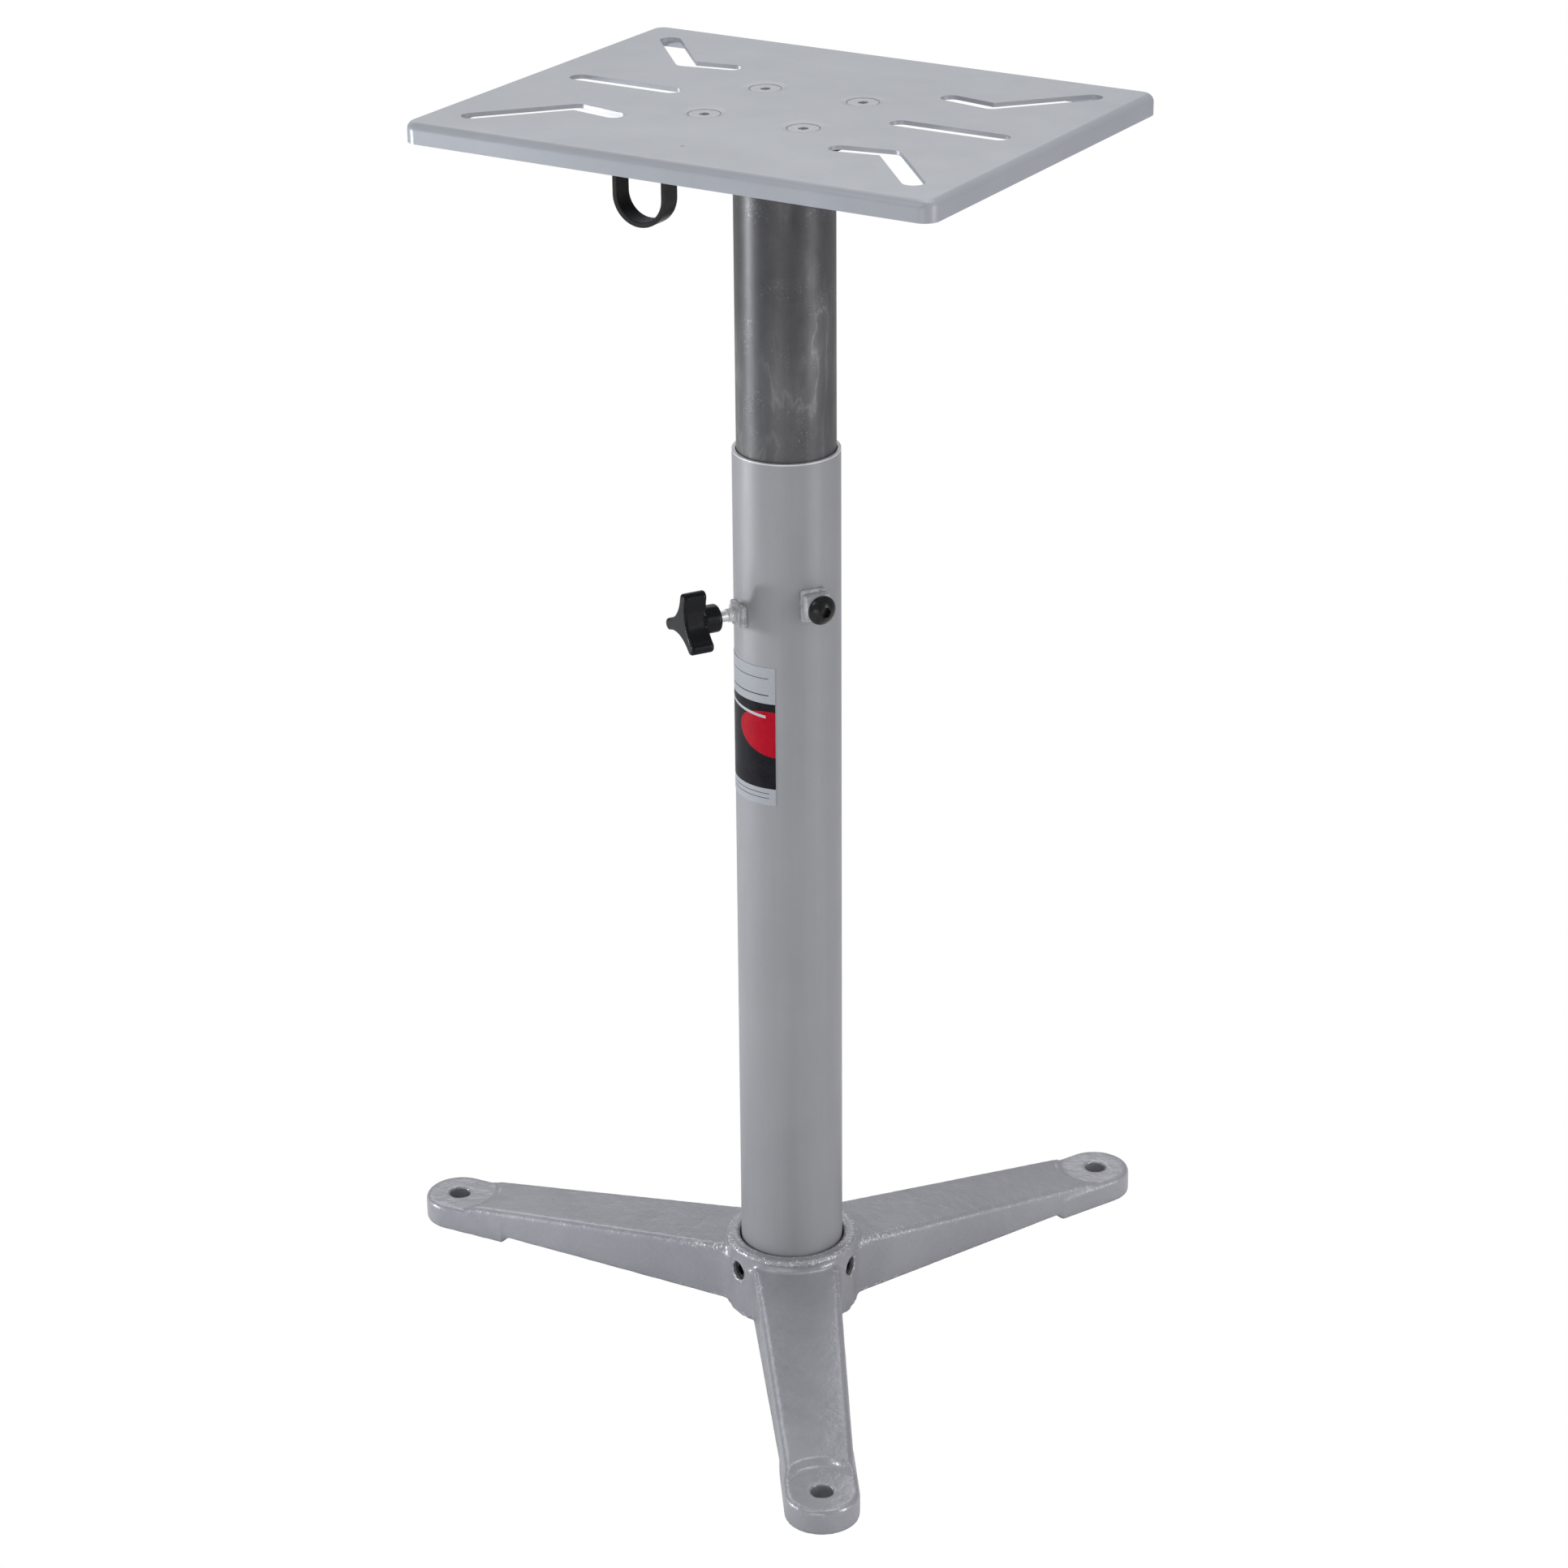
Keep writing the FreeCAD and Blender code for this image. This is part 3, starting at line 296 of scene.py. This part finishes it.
def mill_scale():
    """Bare tube with its grey scale: thin pale veins along it, haze, specks and draw marks, over
    painted shade that darkens it towards its top.
    """
    graph = Graph("mill_scale", Metallic=0.3, Coat_Weight=0.08, Coat_Roughness=0.25)
    tall = graph.stretched(1.0, 1.0, 0.26)
    flow = graph.noise(24.0, 6.0, 0.56, 0.45, at=tall)
    away = graph.math("ABSOLUTE", graph.math("SUBTRACT", flow, 0.5))
    vein = graph.remap(away, 0.0, 0.011, 0.42, 0.0)
    haze = graph.remap(away, 0.0, 0.10, 0.42, 0.0)
    where = graph.remap(graph.noise(15.0, 3.0, 0.55, at=tall), 0.47, 0.62)
    pale = graph.math("MULTIPLY", graph.math("ADD", vein, haze), where)
    patch = graph.remap(graph.noise(34.0, 3.0, 0.6), 0.50, 0.62)
    specks = graph.math("MULTIPLY", patch, graph.remap(graph.noise(900.0, 2.0, 0.6), 0.55, 0.70))
    dull = graph.remap(graph.noise(60.0, 5.0, 0.66), 0.32, 0.68)
    # Painted shade: the tube is drawn lighter below 0.58 m and darker towards its top, under the
    # plate.
    low = graph.remap(graph.parts()["Z"], 0.58, 0.74, 1.0, 0.0)
    draw = graph.noise(300.0, 3.0, 0.6, at=graph.stretched(1.0, 1.0, 0.03))
    base = graph.mix(dull, (0.066, 0.065, 0.068), (0.095, 0.094, 0.098))
    base = graph.mix(graph.math("MULTIPLY", low, 0.3), base, (0.130, 0.129, 0.132))
    # The pale veins, specks and pits are laid over the base with its painted shade.
    wear_and_painted_light = graph.mix(pale, base, (0.285, 0.284, 0.29))
    wear_and_painted_light = graph.mix(graph.math("MULTIPLY", specks, 0.55), wear_and_painted_light, (0.33, 0.33, 0.335))
    pits = graph.remap(graph.cells(420.0), 0.0, 0.12, 0.5, 0.0)
    wear_and_painted_light = graph.mix(pits, wear_and_painted_light, (0.05, 0.05, 0.052))
    graph.colour(graph.mix(graph.remap(draw, 0.35, 0.75, 0.0, 0.2), wear_and_painted_light, (0.06, 0.06, 0.063)))
    graph.roughness(graph.remap(graph.math("ADD", pale, specks), 0.0, 1.0, 0.40, 0.28))
    relief = graph.math("ADD", graph.math("MULTIPLY", pale, 0.8), graph.math("MULTIPLY", specks, 0.5))
    first = graph.bump(relief, 0.00005, 0.7)
    graph.normal(graph.bump(draw, 0.00002, 0.5, first))
    return graph.material


def bright_metal(name, dark, light, rough, metallic):
    """Plated steel: a faint spangle, fine turning marks and dulled patches."""
    graph = Graph(name, Metallic=metallic)
    patch = graph.noise(320.0, 4.0, 0.6, 0.5)
    fleck = graph.remap(graph.flakes(1800.0), 0.0, 1.0, -0.12, 0.12)
    tone = graph.math("ADD", graph.remap(patch, 0.3, 0.7), fleck)
    graph.colour(graph.mix(tone, dark, light))
    graph.roughness(graph.remap(graph.noise(500.0, 4.0, 0.6), 0.3, 0.7, *rough))
    graph.normal(graph.bump(graph.noise(1800.0, 2.0, 0.5), 0.00002, 0.6))
    return graph.material


def black_finish(name, base, lift, rough, peel=700.0, depth=0.00002, **sockets):
    """A black surface with faint lighter dust and an uneven gloss."""
    graph = Graph(name, **sockets)
    dust = graph.remap(graph.noise(95.0, 6.0, 0.68), 0.52, 0.8)
    fleck = graph.remap(graph.flakes(2200.0), 0.86, 1.0, 0.0, 0.5)
    graph.colour(graph.mix(graph.math("ADD", graph.math("MULTIPLY", dust, 0.6), fleck, clamp=True),
                           base, lift))
    graph.roughness(graph.remap(graph.noise(60.0, 5.0, 0.6), 0.3, 0.7, *rough))
    graph.normal(graph.bump(graph.noise(peel, 3.0, 0.55), depth, 0.7))
    return graph.material


def label_film():
    """Printed film: a black field with a round red patch, between two silver bands with rules."""
    graph = Graph("label_film", Specular_IOR_Level=0.12)
    spot = graph.add("ShaderNodeUVMap", uv_map="print").outputs["UV"]
    across, up = graph.parts(spot)["X"], graph.parts(spot)["Y"]

    def between(source, low, high):
        above = graph.math("GREATER_THAN", source, low)
        return graph.math("MULTIPLY", above, graph.math("LESS_THAN", source, high))

    def both(first, second):
        return graph.math("MULTIPLY", first, second)

    def share_squared(source, middle, half):
        share = graph.math("DIVIDE", graph.math("SUBTRACT", source, middle), half)
        return graph.math("MULTIPLY", share, share)

    silver = graph.mix(graph.remap(graph.noise(900.0, 3.0, 0.6), 0.3, 0.7),
                       (0.425, 0.445, 0.475), (0.475, 0.495, 0.525))
    ink = graph.mix(graph.remap(graph.noise(240.0, 5.0, 0.65), 0.35, 0.75),
                    (0.007, 0.007, 0.010), (0.017, 0.017, 0.022))
    red = graph.mix(graph.remap(graph.noise(200.0, 4.0, 0.6), 0.3, 0.7),
                    (0.42, 0.001, 0.014), (0.52, 0.003, 0.022))
    field = between(up, *FIELD)
    slant = graph.math("ADD", up, graph.math("MULTIPLY", across, PRINT_SLANT))
    round_patch = graph.math("ADD", share_squared(across, LABEL_WIDTH, PATCH_HALF_WIDTH),
                             share_squared(slant, PATCH_LEVEL, PATCH_HALF_HEIGHT))
    patch = both(field, graph.math("LESS_THAN", round_patch, 1.0))
    rules = 0.0
    for low, high in RULES:
        rules = graph.math("ADD", rules, between(up, low, high))
    rules = both(rules, between(across, RULE_MARGIN, LABEL_WIDTH - RULE_MARGIN))
    print_colour = graph.mix(rules, silver, ink)
    print_colour = graph.mix(field, print_colour, ink)
    print_colour = graph.mix(patch, print_colour, red)
    bar = both(between(slant, *BAR), between(across, BAR_START, LABEL_WIDTH - BAR_MARGIN))
    graph.colour(graph.mix(bar, print_colour, (0.55, 0.57, 0.60)))
    graph.roughness(graph.remap(graph.noise(120.0, 5.0, 0.65), 0.3, 0.7, 0.30, 0.44))
    graph.normal(graph.bump(graph.noise(300.0, 3.0, 0.5), 0.00003, 0.5))
    return graph.material


SILVER_PLATE = silver_paint("plate_paint", (0.410, 0.428, 0.467), (0.463, 0.482, 0.524), cloud=7.0)
SILVER_TUBE = silver_paint("tube_paint", (0.330, 0.334, 0.354), (0.390, 0.394, 0.414),
                           cloud=11.0, streak=60.0, rim=COLUMN_TOP)
CASTING = casting_paint()
SCALE = mill_scale()
WELD = silver_paint("weld_paint", (0.38, 0.385, 0.395), (0.66, 0.67, 0.68), cloud=260.0)
ZINC = bright_metal("zinc_plate", (0.72, 0.72, 0.725), (0.90, 0.90, 0.90), (0.24, 0.42), 0.55)
NUT = silver_paint("nut_paint", (0.46, 0.465, 0.475), (0.66, 0.665, 0.675), cloud=180.0)
SCREW = bright_metal("screw_finish", (0.43, 0.443, 0.475), (0.49, 0.503, 0.535), (0.30, 0.44), 0.35)
BLACK_STEEL = black_finish("black_oxide", (0.012, 0.012, 0.013), (0.04, 0.04, 0.042), (0.20, 0.34),
                           Metallic=0.35)
KNOB = black_finish("knob_plastic", (0.0055, 0.006, 0.008), (0.013, 0.0135, 0.016), (0.16, 0.28),
                    peel=380.0, Specular_IOR_Level=0.22)
LOOP = black_finish("loop_paint", (0.010, 0.010, 0.011), (0.03, 0.03, 0.032), (0.26, 0.4),
                    peel=520.0, depth=0.00003, Specular_IOR_Level=0.35)
IRON = black_finish("flange_iron", (0.035, 0.035, 0.037), (0.085, 0.083, 0.08), (0.45, 0.62),
                    peel=350.0, depth=0.00016, Metallic=0.3)
LABEL = label_film()


# --- Meshes ---------------------------------------------------------------------------------------
def piece(name, mesh, material, body, finish, *stands_for):
    """A visible piece that rides on a body in place of the CAD nodes it stands for."""
    item = bpy.data.objects.new(name, mesh)
    scene.collection.objects.link(item)
    mesh.materials.clear()
    mesh.materials.append(material)
    for polygon in mesh.polygons:
        polygon.material_index = 0
    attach(item, body)
    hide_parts(*stands_for)
    return item


def applied(mesh, *modifiers):
    """The mesh with these modifiers, each a kind and its settings, worked into it."""
    item = bpy.data.objects.new("work", mesh)
    scene.collection.objects.link(item)
    for kind, settings in modifiers:
        modifier = item.modifiers.new(kind, kind)
        for name, setting in settings.items():
            setattr(modifier, name, setting)
    shaped = item.evaluated_get(bpy.context.evaluated_depsgraph_get())
    result = bpy.data.meshes.new_from_object(shaped)
    bpy.data.objects.remove(item)
    return result


def clean_copy(node):
    """The node's mesh with its seams closed and its flat faces whole."""
    mesh = nodes[node].data.copy()
    work = bmesh.new()
    work.from_mesh(mesh)
    bmesh.ops.remove_doubles(work, verts=work.verts, dist=2e-6)
    bmesh.ops.dissolve_limit(work, angle_limit=math.radians(0.4), verts=work.verts,
                             edges=work.edges, delimit=set())
    work.to_mesh(mesh)
    work.free()
    return mesh


def smooth(mesh, angle=35.0):
    """Round faces shade smoothly, and edges past this angle stay crisp."""
    mesh.shade_smooth()
    mesh.set_sharp_from_angle(angle=math.radians(angle))
    return applied(mesh, ("WEIGHTED_NORMAL", {"keep_sharp": True, "weight": 80}))


def eased(node, width):
    """The node with its sharp edges rounded, as paint and deburring leave them."""
    mesh = applied(clean_copy(node), ("BEVEL", {
        "width": width, "segments": 3, "limit_method": "ANGLE",
        "angle_limit": math.radians(28.0), "use_clamp_overlap": True}))
    return smooth(mesh)


def remeshed(node, voxel, passes):
    """The node as one even skin, with its edges softened by this many passes."""
    mesh = applied(clean_copy(node), ("REMESH", {"mode": "VOXEL", "voxel_size": voxel}),
                   ("SMOOTH", {"factor": 0.5, "iterations": passes}))
    mesh.shade_smooth()
    return mesh


def moved(mesh, rule):
    """Moves each vertex to where the rule puts its place and normal."""
    spots = [(vertex.co.copy(), vertex.normal.copy()) for vertex in mesh.vertices]
    mesh.vertices.foreach_set("co", [part for spot, normal in spots for part in rule(spot, normal)])
    mesh.update()
    return mesh


def lumpy(node, voxel, depth, scale, passes=3):
    """A weld bead: soft, with lumps along it."""
    def swollen(spot, normal):
        swell = noise.noise(spot * scale) + 0.5 * noise.noise(spot * scale * 2.3)
        return spot + normal * depth * swell

    return moved(remeshed(node, voxel, passes), swollen)


def gapped(name):
    """A screw drawn slightly slimmer than its seat, so that the round gap about it shows."""
    low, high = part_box(name)
    middle = (low + high) / 2

    def slimmed(spot, _):
        slim = middle + (spot - middle) * SCREW_SLIMMING
        return slim.x, slim.y, spot.z

    return moved(eased(name, 0.00035), slimmed)


def cast_base():
    """The casting's skin: soft waves and grains, kept clear of the column and off the floor."""
    low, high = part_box("base_casting")

    def cast(spot, normal):
        reach = math.hypot(spot.x, spot.y)
        wave = noise.noise(spot * 75.0) + 0.6 * noise.noise(spot * 210.0)
        skin = spot + normal * (SKIN_WAVE * wave - SKIN_SINK)
        if reach < HUB_BORE_R + BORE_SKIN and spot.z > BORE_FOOT:
            skin.xy = spot.xy * (max(reach, HUB_BORE_R) / reach)
            skin.z = spot.z
        return [min(max(value, a), b) for value, a, b in zip(skin, low, high)]

    return moved(remeshed("base_casting", CASTING_VOXEL, 4), cast)


def stud():
    """The lock stud on its axis: thread with a helical ridge, run-out, neck and end."""
    around = 56
    step = 0.00008
    rows = int(STUD_LENGTH / step)
    work = bmesh.new()
    rings = []
    for row in range(rows + 1):
        along = STUD_LENGTH * row / rows
        ring = []
        for index in range(around):
            turn = 2 * math.pi * index / around
            if along < STUD_THREAD + THREAD_RUN_OUT:
                phase = (along / THREAD_PITCH - index / around) % 1.0
                groove = min(1.0, max(0.0, 1.28 - abs(phase - 0.5) * 3.2)) * THREAD_DEPTH
                chamfer = max(0.0, STUD_CHAMFER - along)
                edge = max(0.0, along - STUD_THREAD) / THREAD_RUN_OUT
                radius = (STUD_R - groove - chamfer) * (1 - edge) + STUD_NECK_R * edge
            else:
                radius = STUD_NECK_R
            ring.append(work.verts.new((radius * math.cos(turn), radius * math.sin(turn), along)))
        rings.append(ring)
    for low, high in zip(rings, rings[1:]):
        for index in range(around):
            after = (index + 1) % around
            work.faces.new((low[index], low[after], high[after], high[index]))
    work.faces.new(list(reversed(rings[0])))
    work.faces.new(rings[-1])
    turn = math.radians(KNOB_ANGLE)
    out = Vector((math.cos(turn), math.sin(turn), 0.0))
    side = Vector((-math.sin(turn), math.cos(turn), 0.0))
    up = Vector((0.0, 0.0, 1.0))
    lie = Matrix((side, up, out)).transposed().to_4x4()
    lie.translation = out * STUD_TIP + up * KNOB_Z
    work.transform(lie)
    mesh = bpy.data.meshes.new("lock_stud_shape")
    work.to_mesh(mesh)
    work.free()
    mesh.shade_smooth()
    mesh.set_sharp_from_angle(angle=math.radians(50))
    return mesh


def label_sheet():
    """A thin sheet with round corners, bent round the column."""
    columns = 96
    corner_rows = 8
    middle_rows = 30
    radius = TUBE_R + LABEL_GLUE + LABEL_GAUGE
    edge_rows = [LABEL_CORNER * (1 - math.cos(math.pi / 2 * step / corner_rows))
                 for step in range(corner_rows + 1)]
    middle = [LABEL_CORNER + (LABEL_HEIGHT - 2 * LABEL_CORNER) * step / middle_rows
              for step in range(1, middle_rows)]
    levels = edge_rows + middle + [LABEL_HEIGHT - level for level in reversed(edge_rows)]
    work = bmesh.new()
    layer = work.loops.layers.uv.new("print")
    places = {}
    grid = []
    for level in levels:
        depth = min(level, LABEL_HEIGHT - level)
        missing = 0.0
        if depth < LABEL_CORNER:
            missing = LABEL_CORNER - math.sqrt(LABEL_CORNER ** 2 - (LABEL_CORNER - depth) ** 2)
        half = LABEL_WIDTH / 2 - missing
        line = []
        for column in range(columns + 1):
            across = LABEL_WIDTH / 2 + half * (2 * column / columns - 1)
            turn = math.radians(LABEL_RIGHT) - (LABEL_WIDTH - across) / TUBE_R
            vertex = work.verts.new((radius * math.cos(turn), radius * math.sin(turn),
                                     LABEL_FOOT + level))
            places[vertex] = (across, level)
            line.append(vertex)
        grid.append(line)
    for low, high in zip(grid, grid[1:]):
        for column in range(columns):
            face = work.faces.new((low[column], low[column + 1], high[column + 1], high[column]))
            for loop in face.loops:
                loop[layer].uv = places[loop.vert]
    mesh = bpy.data.meshes.new("label_shape")
    work.to_mesh(mesh)
    work.free()
    mesh = applied(mesh, ("SOLIDIFY", {"thickness": LABEL_GAUGE, "offset": -1.0}))
    return smooth(mesh, 40.0)


# --- Pieces ---------------------------------------------------------------------------------------
piece("base_casting_skin", cast_base(), CASTING, "stand", "casting_paint", "base_casting")
for number in (1, 2, 3):
    name = f"hub_set_screw_{number}"
    piece(name + "_finish", eased(name, 0.00025), BLACK_STEEL, "stand", "black_steel", name)
piece("outer_tube_finish", eased("outer_tube", 0.0005), SILVER_TUBE, "stand", "tube_paint",
      "outer_tube")
piece("label_sheet", label_sheet(), LABEL, "stand", "label_film", "label")
piece("stud_nut_finish", eased("stud_nut", 0.0002), NUT, "stand", "zinc", "stud_nut")
piece("bolt_nut_finish", eased("bolt_nut", 0.00025), NUT, "stand", "zinc", "bolt_nut")
piece("stud_nut_bead", lumpy("stud_nut_weld", NUT_BEAD_VOXEL, BEAD_LUMPS, 420.0, 2), WELD, "stand",
      "weld_paint", "stud_nut_weld")
piece("bolt_nut_bead", lumpy("bolt_nut_weld", NUT_BEAD_VOXEL, BEAD_LUMPS, 380.0, 2), WELD, "stand",
      "weld_paint", "bolt_nut_weld")
piece("inner_tube_finish", eased("inner_tube", 0.0004), SCALE, "column", "tube_steel",
      "inner_tube")
piece("head_flange_finish", eased("head_flange", 0.0008), IRON, "head", "flange_iron",
      "head_flange")
piece("top_plate_finish", eased("top_plate", 0.0003), SILVER_PLATE, "head", "plate_paint",
      "top_plate")
for number in (1, 2, 3, 4):
    name = f"plate_screw_{number}"
    piece(name + "_finish", gapped(name), SCREW, "head", "screw_steel", name)
piece("tool_loop_finish", eased("tool_loop", 0.0005), LOOP, "head", "loop_paint", "tool_loop")
for side in ("left", "right"):
    name = f"loop_weld_{side}"
    piece(f"loop_bead_{side}", lumpy(name, LOOP_BEAD_VOXEL, 0.0003, 420.0), LOOP, "head",
          "loop_paint", name)
piece("lock_stud_thread", stud(), ZINC, "stud", "zinc", "lock_stud")
piece("lock_knob_shape", remeshed("lock_knob", KNOB_VOXEL, 6), KNOB, "knob", "knob_plastic",
      "lock_knob")
piece("lock_bolt_finish", eased("lock_bolt", 0.0003), BLACK_STEEL, "bolt", "black_steel",
      "lock_bolt")


# --- Floor, world and lamps -----------------------------------------------------------------------
def floor():
    """A pale floor that the camera sees as white."""
    mesh = bpy.data.meshes.new("floor")
    corners = [(x * FLOOR_REACH, y * FLOOR_REACH, 0) for x, y in ((-1, -1), (1, -1), (1, 1), (-1, 1))]
    mesh.from_pydata(corners, [], [(0, 1, 2, 3)])
    item = bpy.data.objects.new("floor", mesh)
    item.location.z = -FLOOR_DROP
    scene.collection.objects.link(item)
    material = bpy.data.materials.new("floor_white")
    material.use_nodes = True
    tree = material.node_tree
    tree.nodes.clear()
    matte = tree.nodes.new("ShaderNodeBsdfDiffuse")
    matte.inputs["Color"].default_value = (0.82, 0.82, 0.82, 1.0)
    glow = tree.nodes.new("ShaderNodeEmission")
    path = tree.nodes.new("ShaderNodeLightPath")
    blend = tree.nodes.new("ShaderNodeMixShader")
    tree.links.new(path.outputs["Is Camera Ray"], blend.inputs[0])
    tree.links.new(matte.outputs[0], blend.inputs[1])
    tree.links.new(glow.outputs[0], blend.inputs[2])
    output = tree.nodes.new("ShaderNodeOutputMaterial")
    tree.links.new(blend.outputs[0], output.inputs["Surface"])
    mesh.materials.append(material)


def world(ambient):
    """Soft light from all round, and white where the camera looks past the floor."""
    item = bpy.data.worlds.new("studio")
    scene.world = item
    item.use_nodes = True
    tree = item.node_tree
    tree.nodes.clear()
    soft = tree.nodes.new("ShaderNodeBackground")
    soft.inputs["Color"].default_value = (0.97, 0.985, 1.0, 1.0)
    soft.inputs["Strength"].default_value = ambient
    white = tree.nodes.new("ShaderNodeBackground")
    white.inputs["Color"].default_value = (1.0, 1.0, 1.0, 1.0)
    blend = tree.nodes.new("ShaderNodeMixShader")
    path = tree.nodes.new("ShaderNodeLightPath")
    tree.links.new(path.outputs["Is Camera Ray"], blend.inputs[0])
    tree.links.new(soft.outputs[0], blend.inputs[1])
    tree.links.new(white.outputs[0], blend.inputs[2])
    output = tree.nodes.new("ShaderNodeOutputWorld")
    tree.links.new(blend.outputs[0], output.inputs["Surface"])


def softbox(name, azimuth, elevation, distance, size, power, colour, aim):
    """A lamp in a direction from the column, facing the height that it aims at."""
    turn, rise = math.radians(azimuth), math.radians(elevation)
    toward = Vector((math.cos(turn) * math.cos(rise), math.sin(turn) * math.cos(rise),
                     math.sin(rise)))
    lamp = bpy.data.lights.new(name, "AREA")
    lamp.shape = "RECTANGLE"
    lamp.size, lamp.size_y = size
    lamp.energy = power
    lamp.color = colour
    item = bpy.data.objects.new(name, lamp)
    item.location = Vector((0.0, 0.0, aim)) + toward * distance
    item.rotation_euler = toward.to_track_quat("Z", "Y").to_euler()
    scene.collection.objects.link(item)


def camera():
    lens = bpy.data.cameras.new("camera")
    lens.sensor_width = SENSOR
    lens.lens = LENS
    item = bpy.data.objects.new("camera", lens)
    turn = (Matrix.Rotation(math.radians(CAMERA_TURN), 4, "Z")
            @ Matrix.Rotation(math.radians(90.0 - CAMERA_DOWN), 4, "X")
            @ Matrix.Rotation(math.radians(CAMERA_ROLL), 4, "Z"))
    item.matrix_world = Matrix.Translation(CAMERA_PLACE) @ turn
    scene.collection.objects.link(item)
    scene.camera = item


floor()
world(0.34)
# Each lamp: azimuth and elevation in degrees, distance, width and height in metres, watts, colour,
# and the height on the column that it faces
softbox("left_box", -147.0, 4.0, 2.0, (0.15, 0.22), 16.5, (0.94, 0.965, 1.0), 0.2)
softbox("key_box", -100.0, 50.0, 2.4, (0.7, 0.13), 5.0, (1.0, 1.0, 1.0), 0.2)
softbox("front_box", -72.0, 6.0, 2.1, (1.1, 0.7), 4.0, (1.0, 0.985, 1.0), 0.1)
softbox("right_box", 2.0, 12.0, 2.4, (0.5, 1.5), 14.0, (0.985, 0.965, 1.0), 0.25)
softbox("back_box", 134.0, 32.0, 2.8, (2.4, 1.4), 11.5, (1.0, 1.0, 1.0), 0.7)
softbox("top_box", 80.0, 78.0, 2.6, (2.2, 1.8), 25.0, (1.0, 1.0, 1.0), 0.6)
camera()
scene.view_settings.view_transform = "Standard"
